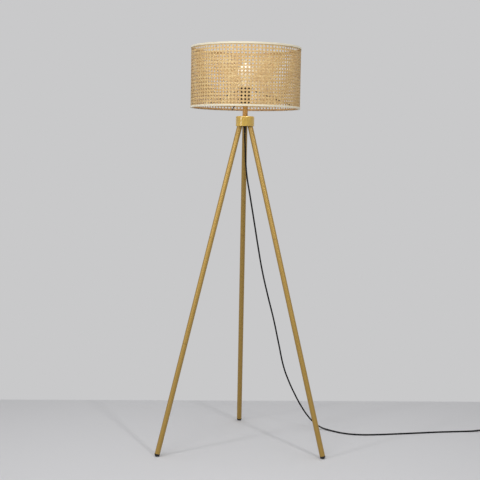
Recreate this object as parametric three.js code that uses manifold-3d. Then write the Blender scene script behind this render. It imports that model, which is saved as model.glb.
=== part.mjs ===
// Tripod floor lamp with a cane drum shade, a round hub, jointed tube legs and a corded foot switch.
// Millimetres, +Z up, the floor is z = 0. The lamp's own axis is the pole; the finished group is moved
// so that the origin lies on the floor below the middle of the lamp's box.
import * as THREE from 'three';
import { mergeVertices } from 'three/addons/utils/BufferGeometryUtils.js';
import Module from 'manifold-3d';

const wasm = await Module();
wasm.setup();

// Clearances
const seatGap = 0.3; // between pieces that touch
const cutOverrun = 3; // how far a cutting body runs past what it cuts
const weldOverlap = 1.5; // how far joined stretches of one piece run into each other

// Counts and angles
const legCount = 3;
const spokeCount = 3;
const firstLegAzimuth = 90; // degrees from +X, the back leg
const firstSpokeAzimuth = 104.3; // degrees from +X
const screwAzimuth = -46; // degrees from +X, right of the front
const shadeSides = 48;
const drumColumns = 24; // openings round the drum
const drumRows = 6;
const hubSides = 32;
const tubeSides = 20;
const smallSides = 12;
const wireSides = 8;
const wireRingSides = 6;
const nutSides = 6;
const footSteps = 6; // steps in a foot's rounded end
const hubTopSteps = 5; // steps in the hub's round upper edge
const hubInnerSteps = 4;
const hubRimSteps = 3;
const buttonRimSteps = 3;
const edgeSteps = 2; // steps in a rounded edge of the switch and the plug
const cornerSteps = 5; // steps in a round corner of a flat outline
const globeSteps = 5; // steps in each half of the bulb's side
const curveSamples = 40; // samples of a curve for each of its points
const cordSides = 8;
const coilSides = 6;
const coilStepsPerTurn = 24;
const coilGapSamples = 4; // points measured for each step of the coil
const tangentShare = 0.01; // part of the coil's straight lead over which its heading is taken
const cordStep = 25; // length of one straight of the free cord

// Stance
const hubUnderside = 1190; // height above the floor
const legCircleRadius = 22.1; // leg axes at the hub's underside
const footCircleRadius = 345.4; // leg axes at the floor

// Legs
const legDiameter = 19;
const legWall = 1;
const legInset = 4; // how far a leg stands up into the hub
const upperLegLength = 424; // from the hub's underside to the first joint
const middleLegLength = 394;
const jointCollarThickness = 0.8;
const jointCollarDiameter = 18.2;
const jointSpigotLength = 18;

// Rubber feet
const footDiameter = 19.4;
const footShoulder = 0.8; // straight rim above the rounded end
const footPlugLength = 15;
const footFlatDepth = 1.5; // how much of the rounded end is flat on the floor

// Hub
const hubDiameter = 67.6;
const hubHeight = 36;
const hubWall = 1.4;
const hubTopRound = 5;
const hubRimRound = 1.1;
const hubSpigotHeight = 10; // upstand inside the pole

// Leg plate inside the hub
const plateRise = 12; // its underside above the hub's underside
const plateThickness = 6;
const plateBossDiameter = 18.2;
const plateHeartDiameter = 22; // middle boss that reaches the hub's roof
const studDiameter = 8;
const studLength = 15;

// Pole and threaded rod
const poleDiameter = 19;
const poleWall = 1.2;
const poleLength = 39.7;
const rodDiameter = 10;
const rodBore = 7;
const rodEnd = 0.8; // rod below its nut
const rodReach = 5; // rod above the holder's floor
const washerDiameter = 18;
const washerThickness = 1.5;
const nutAcrossFlats = 14;
const nutHeight = 5;
const screwDiameter = 4;
const screwRise = 5; // above the hub
const screwProud = 0.5;

// Strain relief under the hub
const glandCollarDiameter = 14;
const glandCollarHeight = 6;
const glandNeckDiameter = 10;
const glandTipDiameter = 7.4;
const glandTaper = 24;

// Lamp holder
const baseFootDiameter = 22;
const baseFootHeight = 3.5;
const baseShoulderHeight = 10;
const baseDiameter = 36;
const baseHeight = 21.7;
const baseWall = 2.4;
const baseFloor = 3;
const shellDiameter = 39.5;
const shellWall = 3;
const shellHeight = 43;
const flangeDiameter = 45;
const flangeThickness = 2.5;
const flangeTopRise = 31; // flange's upper face above the shell's lower end
const shadeRingDiameter = 50;
const shadeRingHeight = 8.4;
const coreHeight = 15;
const screwShellDiameter = 29;
const screwShellWall = 0.6;
const screwShellHeight = 25;
const contactDiameter = 8;
const contactHeight = 3;

// Bulb
const bulbCapDiameter = 26.4;
const bulbCapHeight = 25;
const bulbNubDiameter = 10;
const bulbNubHeight = 2.5;
const bulbTaperHeight = 4;
const bulbDiameter = 60;
const bulbGlassHeight = 86;
const bulbNeckDiameter = 27;
const bulbWall = 1.2;

// Shade
const shadeDiameter = 403;
const shadeHeight = 221;
const trimHeight = 9;
const trimThickness = 0.9;
const drumWall = 2;
const drumOpening = 19; // side of each square opening between the drum's ribs
const wireDiameter = 4;
const carrierDiameter = 57; // centre ring of the shade carrier
const carrierThickness = 2;
const carrierRise = 63.4; // centre ring above the bottom wire ring

// Cord
const cordDiameter = 6;
const cordHug = 12; // straight cord at each fitting

// Foot switch, on the floor past the right of the lamp
const switchPlace = [1047, 232];
const switchHeading = 8; // degrees from +X
const switchLength = 78;
const switchWidth = 38;
const switchCorner = 16;
const switchBaseHeight = 8;
const switchCoverHeight = 13.7;
const switchWall = 2;
const switchEdge = 3; // rounding of the cover's upper edge
const buttonDiameter = 24;
const buttonProud = 3.5;
const buttonFlange = 2; // flange beyond the button's side
const buttonFlangeThickness = 1.5;
const buttonTravel = 2.5;
const buttonStemDiameter = 8;
const buttonStemLength = 5;
const blockLength = 40;
const blockWidth = 24;
const reliefHeight = 7; // its axis above the floor
const reliefLength = 22;
const reliefDiameter = 10;
const reliefTipDiameter = 7.2;

// Coil of spare cord, with its tie
const coilPlace = [1153, 202];
const coilRadius = 38.5; // outermost turn
const coilTurns = 3.25;
const coilPitch = 6.7; // from turn to turn, and from layer to layer
const coilStart = 98; // degrees from +X, where the cord comes in
const coilClimbTurns = 0.5; // part of a turn in which it climbs a layer
const tieTurn = 0.5; // turns from the start to the tie
const tieThickness = 0.8;
const tieWidth = 5;
const tieSlack = 0.6; // from the tie to the cord
const tieCorner = 4;

// Plug
const plugAngle = -86; // degrees from +X
const plugReliefLength = 26;
const plugReliefDiameter = 10.5;
const plugReliefTipDiameter = 7.2;
const plugBackWidth = 15;
const plugWidth = 35;
const plugThickness = 13.7;
const plugShoulderLength = 14;
const plugLength = 30;
const plugEdge = 1.2;
const plugEndRun = 34; // free cord between the coil and the plug
const pinDiameter = 4;
const pinLength = 19;
const pinSpacing = 18.6;

// Shares of the sizes that they follow
const bulbShoulderShare = 0.42; // height of the widest part of the globe, from the top
const bulbNeckShare = 0.16;
const pinTipShare = 0.6; // radius left at the end of a rounded pin
const buttonRimShare = 0.35; // part of the button's rise that is rounded

// Route of the cord from the hub to the switch, chosen by hand: x, y, z from the lamp's axis
const cordRoute = [
  [2, 1, 1120],
  [5, 9, 1060],
  [11, 21, 1004],
  [24, 36, 932],
  [41, 56, 837],
  [59, 76, 735],
  [77, 96, 642],
  [100, 115, 548],
  [125, 134, 453],
  [147, 153, 356],
  [170, 173, 258],
  [190, 184, 204],
  [215, 195, 150],
  [243, 206, 98],
  [271, 215, 56],
  [299, 221, 26],
  [326, 217, 9],
  [352, 202, 4],
  [376, 181, 3.2],
  [404, 160, 3.1],
  [440, 145, 3.1],
  [490, 140, 3.1],
  [550, 147, 3.1],
  [620, 160, 3.1],
  [700, 176, 3.1],
  [790, 195, 3.1],
  [870, 207, 3.1],
  [930, 215, 3.9],
];

// Sizes worked out from the ones above
const legLean = Math.atan((footCircleRadius - legCircleRadius) / hubUnderside);
const legRadius = legDiameter / 2;
const legBore = legRadius - legWall;
const spigotRadius = legBore - seatGap;
const footRadius = footDiameter / 2;
const footCentreDown = (hubUnderside - footRadius + footFlatDepth) / Math.cos(legLean);
const legEnd = footCentreDown - footShoulder - seatGap;
const hubRadius = hubDiameter / 2;
const hubTop = hubUnderside + hubHeight;
const poleRadius = poleDiameter / 2;
const poleBore = poleRadius - poleWall;
const poleBottom = hubTop + seatGap;
const poleTop = poleBottom + poleLength;
const hubSpigotRadius = poleBore - seatGap;
const rodRadius = rodDiameter / 2;
const plateBottom = hubUnderside + plateRise;
const washerTop = plateBottom - seatGap;
const nutTop = washerTop - washerThickness - seatGap;
const rodBottom = nutTop - nutHeight - rodEnd;
const glandTop = rodBottom - seatGap;
const glandBottom = glandTop - glandCollarHeight - glandTaper;
const baseBottom = poleTop + seatGap;
const rodTop = baseBottom + baseFloor + rodReach;
const shellBottom = baseBottom + baseHeight + seatGap;
const shellBore = shellDiameter / 2 - shellWall;
const coreTop = shellBottom + coreHeight;
const contactTop = coreTop + seatGap + contactHeight;
const bulbBottom = contactTop + seatGap;
const glassBottom = bulbBottom + bulbCapHeight + seatGap;
const carrierBottom = shellBottom + flangeTopRise + seatGap;
const carrierMiddle = carrierBottom + carrierThickness / 2;
const carrierBore = shellDiameter / 2 + seatGap;
const wireRadius = wireDiameter / 2;
const bottomWireHeight = carrierMiddle - carrierRise;
const shadeBottom = bottomWireHeight - wireRadius - seatGap - trimThickness;
const shadeTop = shadeBottom + shadeHeight;
const topWireHeight = shadeTop - trimThickness - seatGap - wireRadius;
const drumRadius = shadeDiameter / 2 - trimThickness - seatGap;
const wireRingRadius = drumRadius - drumWall - seatGap - wireRadius;
const halfFlat = Math.PI / shadeSides; // angle from a corner of the shade to the middle of a flat
const cordRadius = cordDiameter / 2;
const coilFloor = tieThickness + tieSlack + cordRadius;
const coverBottom = switchBaseHeight + seatGap;
const switchTop = coverBottom + switchCoverHeight;
const buttonFlangeTop = switchTop - switchWall - seatGap;
const blockTop = buttonFlangeTop - buttonFlangeThickness - buttonTravel - seatGap;
const stemBottom = buttonFlangeTop - buttonFlangeThickness - buttonStemLength;

const finishes = {
  brass: { color: 0xb08a45, roughness: 0.28, metalness: 1 },
  copperGold: { color: 0xb9843e, roughness: 0.3, metalness: 1 },
  zinc: { color: 0x9a9c9c, roughness: 0.4, metalness: 1 },
  darkWire: { color: 0x2a2320, roughness: 0.5, metalness: 0.6 },
  brownWire: { color: 0x9a6b3a, roughness: 0.5, metalness: 0.3 },
  cane: { color: 0xdabe91, roughness: 0.6, metalness: 0 },
  tape: { color: 0xeae3cd, roughness: 0.85, metalness: 0 },
  blackPlastic: { color: 0x161412, roughness: 0.45, metalness: 0 },
  blackRubber: { color: 0x121212, roughness: 0.8, metalness: 0 },
  ceramic: { color: 0xe6e2d8, roughness: 0.5, metalness: 0 },
  opalGlass: { color: 0xfff2dc, roughness: 0.35, metalness: 0 },
};

// A closed surface with shared corners, no empty triangles and its faces pointing out
function closed(geometry) {
  geometry.deleteAttribute('normal');
  geometry.deleteAttribute('uv');
  const merged = mergeVertices(geometry);
  const place = merged.attributes.position;
  const corners = [];
  let volume = 0;
  const [a, b, c] = [new THREE.Vector3(), new THREE.Vector3(), new THREE.Vector3()];
  for (let i = 0; i < merged.index.count; i += 3) {
    const face = [0, 1, 2].map((k) => merged.index.getX(i + k));
    if (new Set(face).size < 3) {
      continue;
    }
    a.fromBufferAttribute(place, face[0]);
    b.fromBufferAttribute(place, face[1]);
    c.fromBufferAttribute(place, face[2]);
    volume += a.dot(b.cross(c));
    corners.push(face);
  }
  merged.setIndex(corners.map((face) => (volume < 0 ? face.reverse() : face)).flat());
  return merged;
}

function toSolid(geometry) {
  const vertProperties = new Float32Array(geometry.attributes.position.array);
  const triVerts = new Uint32Array(geometry.index.array);
  return new wasm.Manifold(new wasm.Mesh({ numProp: 3, vertProperties, triVerts }));
}

function toGeometry(solid) {
  const mesh = solid.getMesh();
  const geometry = new THREE.BufferGeometry();
  geometry.setAttribute('position', new THREE.BufferAttribute(new Float32Array(mesh.vertProperties), 3));
  geometry.setIndex(new THREE.BufferAttribute(new Uint32Array(mesh.triVerts), 1));
  return geometry;
}

function cut(geometry, ...cutters) {
  return toGeometry(cutters.reduce((rest, cutter) => rest.subtract(toSolid(cutter)), toSolid(geometry)));
}

function join(geometry, ...others) {
  return toGeometry(others.reduce((sum, other) => sum.add(toSolid(other)), toSolid(geometry)));
}

// A round piece about Z from its outline of [radius, height] points
function turned(outline, sides) {
  const geometry = new THREE.LatheGeometry(outline.map(([r, z]) => new THREE.Vector2(r, z)), sides);
  return closed(geometry.rotateX(Math.PI / 2));
}

function hoop(bore, radius, bottom, top, sides) {
  return turned([[bore, bottom], [radius, bottom], [radius, top], [bore, top], [bore, bottom]], sides);
}

function rod(radius, bottom, top, sides) {
  return turned([[0, bottom], [radius, bottom], [radius, top], [0, top]], sides);
}

// Points of an arc in an outline, both ends included, angles in degrees
function arc(centreRadius, centreHeight, size, from, to, steps) {
  return Array.from({ length: steps + 1 }, (_, i) => {
    const angle = THREE.MathUtils.degToRad(from + ((to - from) * i) / steps);
    return [centreRadius + size * Math.cos(angle), centreHeight + size * Math.sin(angle)];
  });
}

function wireRing(height) {
  const outline = arc(wireRingRadius, height, wireRadius, 0, 360, wireRingSides);
  return turned(outline, shadeSides);
}

// A rod from one point to another
function strut(from, to, radius, sides) {
  const along = to.clone().sub(from);
  const geometry = rod(radius, 0, along.length(), sides);
  const up = new THREE.Vector3(0, 0, 1);
  geometry.applyQuaternion(new THREE.Quaternion().setFromUnitVectors(up, along.normalize()));
  return geometry.translate(from.x, from.y, from.z);
}

// A tube along a curve
function tubeAlong(curve, radius, sides, steps) {
  const section = new THREE.Shape(
    Array.from({ length: sides }, (_, i) => {
      const angle = (2 * Math.PI * i) / sides;
      return new THREE.Vector2(radius * Math.cos(angle), radius * Math.sin(angle));
    }),
  );
  return closed(new THREE.ExtrudeGeometry(section, { steps, extrudePath: curve, bevelEnabled: false }));
}

function cordAlong(points) {
  const curve = new THREE.CatmullRomCurve3(points, false, 'centripetal');
  curve.arcLengthDivisions = points.length * curveSamples;
  const length = curve.getLength();
  return { length, geometry: tubeAlong(curve, cordRadius, cordSides, Math.ceil(length / cordStep)) };
}

function roundedShape(length, width, corner) {
  const shape = new THREE.Shape();
  const [x, y] = [length / 2 - corner, width / 2 - corner];
  shape.absarc(x, y, corner, 0, Math.PI / 2);
  shape.absarc(-x, y, corner, Math.PI / 2, Math.PI);
  shape.absarc(-x, -y, corner, Math.PI, 1.5 * Math.PI);
  shape.absarc(x, -y, corner, 1.5 * Math.PI, 2 * Math.PI);
  return shape;
}

// A flat outline with round corners, pushed up from the bottom height to the top height
function roundedBlock(length, width, corner, bottom, top) {
  const options = { depth: top - bottom, bevelEnabled: false, curveSegments: cornerSteps };
  const block = new THREE.ExtrudeGeometry(roundedShape(length, width, corner), options);
  return closed(block.translate(0, 0, bottom));
}

function polar(radius, azimuth, height) {
  const angle = THREE.MathUtils.degToRad(azimuth);
  return new THREE.Vector3(radius * Math.cos(angle), radius * Math.sin(angle), height);
}

// Origin on the leg's axis at the hub's underside, -Z down along the leg
function legGroup(index) {
  const azimuth = firstLegAzimuth + (index * 360) / legCount;
  const group = new THREE.Group();
  group.position.copy(polar(legCircleRadius, azimuth, hubUnderside));
  group.rotation.set(0, -legLean, THREE.MathUtils.degToRad(azimuth), 'ZYX');
  group.updateMatrix();
  return group;
}

const lamp = new THREE.Group();
const cordSet = new THREE.Group();

function add(parent, name, geometry, finish) {
  const mesh = new THREE.Mesh(geometry, new THREE.MeshStandardMaterial(finishes[finish]));
  mesh.name = name;
  parent.add(mesh);
  return mesh;
}

// Legs

function legTube(from, to) {
  return hoop(legBore, legRadius, -to, -from, tubeSides);
}

function legJoint() {
  const half = jointCollarThickness / 2;
  const reach = half + jointSpigotLength;
  const collar = jointCollarDiameter / 2;
  return turned(
    [[0, -reach], [spigotRadius, -reach], [spigotRadius, -half], [collar, -half],
      [collar, half], [spigotRadius, half], [spigotRadius, reach], [0, reach]],
    smallSides,
  );
}

function legStud() {
  const bottom = legInset - jointSpigotLength;
  const seat = legInset + seatGap;
  const collarTop = seat + jointCollarThickness;
  const top = collarTop + studLength;
  const collar = jointCollarDiameter / 2;
  const stud = studDiameter / 2;
  return turned(
    [[0, bottom], [spigotRadius, bottom], [spigotRadius, seat], [collar, seat],
      [collar, collarTop], [stud, collarTop], [stud, top], [0, top]],
    smallSides,
  );
}

function rubberFoot(group) {
  const rim = footShoulder;
  const outline = [
    [0, rim + footPlugLength],
    [spigotRadius, rim + footPlugLength],
    [spigotRadius, rim],
    [footRadius, rim],
    ...arc(0, 0, footRadius, 0, -90, footSteps).slice(0, -1),
    [0, -footRadius],
  ];
  const foot = turned(outline, tubeSides).translate(0, 0, -footCentreDown);
  const reach = footCircleRadius + footDiameter;
  const floor = closed(new THREE.BoxGeometry(2 * reach, 2 * reach, footDiameter));
  floor.translate(0, 0, -footDiameter / 2);
  return cut(foot, floor.applyMatrix4(group.matrix.clone().invert()));
}

function buildLeg(index) {
  const group = legGroup(index);
  const number = index + 1;
  const halfJoint = jointCollarThickness / 2 + seatGap;
  const firstJoint = upperLegLength;
  const secondJoint = upperLegLength + middleLegLength;
  add(group, `leg_stud_${number}`, legStud(), 'zinc');
  add(group, `leg_upper_${number}`, legTube(-legInset, firstJoint - halfJoint), 'brass');
  add(group, `leg_joint_upper_${number}`, legJoint(), 'brass').position.z = -firstJoint;
  add(group, `leg_middle_${number}`, legTube(firstJoint + halfJoint, secondJoint - halfJoint), 'brass');
  add(group, `leg_joint_lower_${number}`, legJoint(), 'brass').position.z = -secondJoint;
  add(group, `leg_lower_${number}`, legTube(secondJoint + halfJoint, legEnd), 'brass');
  add(group, `rubber_foot_${number}`, rubberFoot(group), 'blackRubber');
  lamp.add(group);
}

// Hub

function hubCap() {
  const inner = hubRadius - hubWall;
  const roof = hubTop - hubWall;
  const bore = rodRadius + seatGap;
  const round = Math.max(hubTopRound - hubWall, 0);
  const outline = [
    [bore, hubTop + hubSpigotHeight],
    [hubSpigotRadius, hubTop + hubSpigotHeight],
    [hubSpigotRadius, hubTop],
    ...arc(hubRadius - hubTopRound, hubTop - hubTopRound, hubTopRound, 90, 0, hubTopSteps),
    ...arc(hubRadius - hubRimRound, hubUnderside + hubRimRound, hubRimRound, 0, -90, hubRimSteps),
    [inner, hubUnderside],
    ...arc(inner - round, roof - round, round, 0, 90, hubInnerSteps),
    [bore, roof],
    [bore, hubTop + hubSpigotHeight],
  ];
  return turned(outline, hubSides);
}

function legPlate() {
  const edge = hubRadius - hubWall - seatGap;
  const top = plateBottom + plateThickness;
  const roof = hubTop - hubWall - seatGap;
  const studTop = legInset + seatGap + jointCollarThickness + studLength;
  const bossBottom = legInset + jointCollarThickness + 2 * seatGap;
  const bossTop = (plateRise + plateThickness / 2) / Math.cos(legLean);
  const heart = rod(plateHeartDiameter / 2, top - weldOverlap, roof, tubeSides);
  let plate = join(rod(edge, plateBottom, top, hubSides), heart);
  for (let i = 0; i < legCount; i += 1) {
    const boss = rod(plateBossDiameter / 2, bossBottom, bossTop, smallSides);
    plate = join(plate, boss.applyMatrix4(legGroup(i).matrix));
  }
  for (let i = 0; i < legCount; i += 1) {
    const hole = rod(studDiameter / 2 + seatGap, 0, studTop + cutOverrun, smallSides);
    plate = cut(plate, hole.applyMatrix4(legGroup(i).matrix));
  }
  return cut(plate, rod(rodRadius + seatGap, plateBottom - cutOverrun, roof + cutOverrun, smallSides));
}

// Pole, rod and what fastens them

function poleTube() {
  const tube = hoop(poleBore, poleRadius, poleBottom, poleTop, tubeSides);
  const height = hubTop + screwRise;
  const from = polar(poleBore - cutOverrun, screwAzimuth, height);
  const to = polar(poleRadius + cutOverrun, screwAzimuth, height);
  return cut(tube, strut(from, to, screwDiameter / 2 + seatGap, smallSides));
}

function poleScrew() {
  const height = hubTop + screwRise;
  const from = polar(hubSpigotRadius + seatGap, screwAzimuth, height);
  const to = polar(poleRadius + screwProud, screwAzimuth, height);
  return strut(from, to, screwDiameter / 2, smallSides);
}

function rodNut() {
  const corner = nutAcrossFlats / Math.sqrt(3);
  const bottom = nutTop - nutHeight;
  const hole = rod(rodRadius + seatGap, bottom - cutOverrun, nutTop + cutOverrun, smallSides);
  return cut(rod(corner, bottom, nutTop, nutSides), hole);
}

function cordGland() {
  const collar = glandCollarDiameter / 2;
  const neck = glandTop - glandCollarHeight;
  return turned(
    [[0, glandTop], [collar, glandTop], [collar, neck], [glandNeckDiameter / 2, neck],
      [glandTipDiameter / 2, glandBottom], [0, glandBottom]],
    smallSides,
  );
}

// Lamp holder

function holderBase() {
  const radius = baseDiameter / 2;
  const foot = baseFootDiameter / 2;
  const bore = rodRadius + seatGap;
  const top = baseBottom + baseHeight;
  const shoulder = baseBottom + baseShoulderHeight;
  const inside = baseBottom + baseFloor;
  return turned(
    [[bore, baseBottom], [foot, baseBottom], [foot, baseBottom + baseFootHeight], [radius, shoulder],
      [radius, top], [radius - baseWall, top], [radius - baseWall, shoulder + baseFloor],
      [foot - baseWall, inside + baseFootHeight], [foot - baseWall, inside],
      [bore, inside], [bore, baseBottom]],
    tubeSides,
  );
}

function holderShell() {
  const radius = shellDiameter / 2;
  const flange = flangeDiameter / 2;
  const flangeTop = shellBottom + flangeTopRise;
  const top = shellBottom + shellHeight;
  return turned(
    [[shellBore, shellBottom], [radius, shellBottom], [radius, flangeTop - flangeThickness],
      [flange, flangeTop - flangeThickness], [flange, flangeTop], [radius, flangeTop],
      [radius, top], [shellBore, top], [shellBore, shellBottom]],
    tubeSides,
  );
}

function bulbCap() {
  const nub = bulbNubDiameter / 2;
  const taper = bulbBottom + bulbNubHeight;
  const side = bulbCapDiameter / 2;
  return turned(
    [[0, bulbBottom], [nub, bulbBottom], [nub, taper], [side, taper + bulbTaperHeight],
      [side, bulbBottom + bulbCapHeight], [0, bulbBottom + bulbCapHeight]],
    tubeSides,
  );
}

// Half outline of the globe, from the neck to the top, drawn in by an offset
function globeLine(offset) {
  const radius = bulbDiameter / 2;
  const top = glassBottom + bulbGlassHeight;
  const widest = top - bulbGlassHeight * bulbShoulderShare;
  const crown = top - widest;
  const neck = bulbNeckDiameter / 2;
  const neckTop = glassBottom + bulbGlassHeight * bulbNeckShare;
  const flank = new THREE.CubicBezierCurve(
    new THREE.Vector2(neck - offset, neckTop),
    new THREE.Vector2(neck - offset, (neckTop + widest) / 2),
    new THREE.Vector2(radius - offset, (neckTop + widest) / 2),
    new THREE.Vector2(radius - offset, widest),
  );
  const upper = Array.from({ length: globeSteps }, (_, i) => {
    const angle = (Math.PI / 2) * ((i + 1) / globeSteps);
    return [(radius - offset) * Math.cos(angle), widest + (crown - offset) * Math.sin(angle)];
  });
  upper[globeSteps - 1][0] = 0;
  return [[neck - offset, glassBottom], ...flank.getPoints(globeSteps).map((p) => [p.x, p.y]), ...upper];
}

function bulbGlass() {
  const outline = [...globeLine(0), ...globeLine(bulbWall).reverse()];
  return turned([...outline, outline[0]], tubeSides);
}

// Shade

// The drum is open as the cane webbing is, in a plain grid of openings that is coarser than the real holes
function caneDrum() {
  const bottom = shadeBottom + trimThickness + seatGap;
  const top = shadeTop - trimThickness - seatGap;
  const rowHeight = (shadeHeight - 2 * trimHeight) / drumRows;
  const cutDepth = drumWall + 2 * cutOverrun;
  const openings = [];
  for (let row = 0; row < drumRows; row += 1) {
    const height = shadeBottom + trimHeight + rowHeight * (row + 0.5);
    for (let column = 0; column < drumColumns; column += 1) {
      const opening = closed(new THREE.BoxGeometry(cutDepth, drumOpening, drumOpening));
      opening.translate(drumRadius - drumWall / 2, 0, height);
      openings.push(opening.rotateZ(halfFlat + (2 * Math.PI * column) / drumColumns));
    }
  }
  return cut(hoop(drumRadius - drumWall, drumRadius, bottom, top, shadeSides), ...openings);
}

function trimBand(edge, inward) {
  const outer = shadeDiameter / 2;
  const face = outer - trimThickness;
  const lip = wireRingRadius - wireRadius;
  const under = edge + inward * trimThickness;
  const end = edge + inward * trimHeight;
  return turned(
    [[lip, edge], [outer, edge], [outer, end], [face, end], [face, under], [lip, under], [lip, edge]],
    shadeSides,
  );
}

function shadeCarrier() {
  const outer = carrierDiameter / 2;
  const ringFlat = wireRingRadius * Math.cos(halfFlat);
  let frame = hoop(carrierBore, outer, carrierBottom, carrierBottom + carrierThickness, tubeSides);
  for (let i = 0; i < spokeCount; i += 1) {
    const azimuth = firstSpokeAzimuth + (i * 360) / spokeCount;
    const from = polar(outer - weldOverlap, azimuth, carrierMiddle);
    const ringPoint = polar(ringFlat, azimuth, bottomWireHeight);
    const back = ringPoint.clone().sub(from).setLength(wireRadius + seatGap);
    frame = join(frame, strut(from, ringPoint.sub(back), wireRadius, wireSides));
  }
  return frame;
}

function buildStand() {
  add(lamp, 'hub_cap', hubCap(), 'brass');
  add(lamp, 'leg_plate', legPlate(), 'zinc');
  add(lamp, 'pole', poleTube(), 'copperGold');
  add(lamp, 'pole_screw', poleScrew(), 'darkWire');
  add(lamp, 'threaded_rod', hoop(rodBore / 2, rodRadius, rodBottom, rodTop, smallSides), 'zinc');
  const washerBottom = washerTop - washerThickness;
  const washer = hoop(rodRadius + seatGap, washerDiameter / 2, washerBottom, washerTop, smallSides);
  add(lamp, 'rod_washer', washer, 'zinc');
  add(lamp, 'rod_nut', rodNut(), 'zinc');
  add(lamp, 'cord_gland', cordGland(), 'blackRubber');
  const lead = rod(cordRadius, glandTop + seatGap, shellBottom - seatGap, cordSides);
  add(lamp, 'inner_lead', lead, 'blackRubber');
}

function buildHolder() {
  const screwShellRadius = screwShellDiameter / 2;
  const screwShellBottom = coreTop + seatGap;
  const screwShellTop = screwShellBottom + screwShellHeight;
  const ringBottom = carrierBottom + carrierThickness + seatGap;
  add(lamp, 'holder_base', holderBase(), 'blackPlastic');
  add(lamp, 'holder_shell', holderShell(), 'blackPlastic');
  add(lamp, 'holder_core', rod(shellBore - seatGap, shellBottom, coreTop, tubeSides), 'ceramic');
  const screwShellBore = screwShellRadius - screwShellWall;
  const screwShell = hoop(screwShellBore, screwShellRadius, screwShellBottom, screwShellTop, tubeSides);
  add(lamp, 'screw_shell', screwShell, 'brass');
  add(lamp, 'socket_contact', rod(contactDiameter / 2, coreTop + seatGap, contactTop, smallSides), 'brass');
  const ringTop = ringBottom + shadeRingHeight;
  const ring = hoop(shellDiameter / 2 + seatGap, shadeRingDiameter / 2, ringBottom, ringTop, tubeSides);
  add(lamp, 'shade_ring', ring, 'blackPlastic');
  add(lamp, 'bulb_cap', bulbCap(), 'zinc');
  add(lamp, 'bulb_glass', bulbGlass(), 'opalGlass');
}

function buildShade() {
  add(lamp, 'shade_carrier', shadeCarrier(), 'darkWire');
  add(lamp, 'bottom_wire_ring', wireRing(bottomWireHeight), 'brownWire');
  add(lamp, 'top_wire_ring', wireRing(topWireHeight), 'brownWire');
  add(lamp, 'cane_drum', caneDrum(), 'cane');
  add(lamp, 'bottom_trim', trimBand(shadeBottom, 1), 'tape');
  add(lamp, 'top_trim', trimBand(shadeTop, -1), 'tape');
}

// Foot switch, in its own group with +X along the cord

// The space inside the switch's two halves
function switchSpace(bottom, top) {
  const inset = 2 * switchWall;
  return roundedBlock(switchLength - inset, switchWidth - inset, switchCorner - switchWall, bottom, top);
}

// The cover is a block with all its edges rounded, less its lower part, the space inside and the hole
function switchCover() {
  const corner = switchCorner - switchEdge;
  const shape = roundedShape(switchLength - 2 * switchEdge, switchWidth - 2 * switchEdge, corner);
  const options = {
    depth: switchCoverHeight,
    bevelThickness: switchEdge,
    bevelSize: switchEdge,
    bevelSegments: edgeSteps,
    curveSegments: cornerSteps,
  };
  const block = closed(new THREE.ExtrudeGeometry(shape, options)).translate(0, 0, coverBottom - switchEdge);
  const blockBottom = coverBottom - 2 * switchEdge;
  const below = roundedBlock(switchLength + cutOverrun, switchWidth + cutOverrun, switchCorner,
    blockBottom - cutOverrun, coverBottom);
  const roof = switchTop - switchWall;
  const hole = rod(buttonDiameter / 2 + seatGap, roof - cutOverrun, switchTop + cutOverrun, tubeSides);
  return cut(block, below, switchSpace(coverBottom - cutOverrun, roof), hole);
}

function switchBase() {
  const block = roundedBlock(switchLength, switchWidth, switchCorner, 0, switchBaseHeight);
  return cut(block, switchSpace(switchWall, switchBaseHeight + cutOverrun));
}

function switchButton() {
  const radius = buttonDiameter / 2;
  const flange = radius + buttonFlange;
  const flangeBottom = buttonFlangeTop - buttonFlangeThickness;
  const rim = buttonProud * buttonRimShare;
  const top = switchTop + buttonProud;
  const stem = buttonStemDiameter / 2;
  return turned(
    [[0, stemBottom], [stem, stemBottom], [stem, flangeBottom], [flange, flangeBottom],
      [flange, buttonFlangeTop], [radius, buttonFlangeTop],
      ...arc(radius - rim, top - rim, rim, 0, 90, buttonRimSteps), [0, top]],
    tubeSides,
  );
}

function switchBlock() {
  const height = blockTop - switchWall - seatGap;
  const block = closed(new THREE.BoxGeometry(blockLength, blockWidth, height));
  block.translate(0, 0, blockTop - height / 2);
  const boreBottom = stemBottom - buttonTravel - seatGap;
  return cut(block, rod(buttonStemDiameter / 2 + seatGap, boreBottom, blockTop + cutOverrun, smallSides));
}

// A tapered sleeve with its wide end at x = 0, narrowing towards +X
function taper(length, wide, narrow) {
  const sleeve = turned([[0, 0], [wide / 2, 0], [narrow / 2, length], [0, length]], smallSides);
  return sleeve.rotateY(Math.PI / 2);
}

function buildSwitch() {
  const group = new THREE.Group();
  group.position.set(...switchPlace, 0);
  group.rotation.z = THREE.MathUtils.degToRad(switchHeading);
  const end = switchLength / 2 + seatGap;
  add(group, 'switch_base', switchBase(), 'blackPlastic');
  add(group, 'switch_cover', switchCover(), 'blackPlastic');
  add(group, 'switch_button', switchButton(), 'blackPlastic');
  add(group, 'switch_block', switchBlock(), 'ceramic');
  const leaving = taper(reliefLength, reliefDiameter, reliefTipDiameter);
  const coming = leaving.clone().rotateZ(Math.PI);
  add(group, 'switch_relief_out', leaving.translate(end, 0, reliefHeight), 'blackRubber');
  add(group, 'switch_relief_in', coming.translate(-end, 0, reliefHeight), 'blackRubber');
  cordSet.add(group);
}

// Coil: the turns spiral in on the lower layer and out again on the upper one

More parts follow.
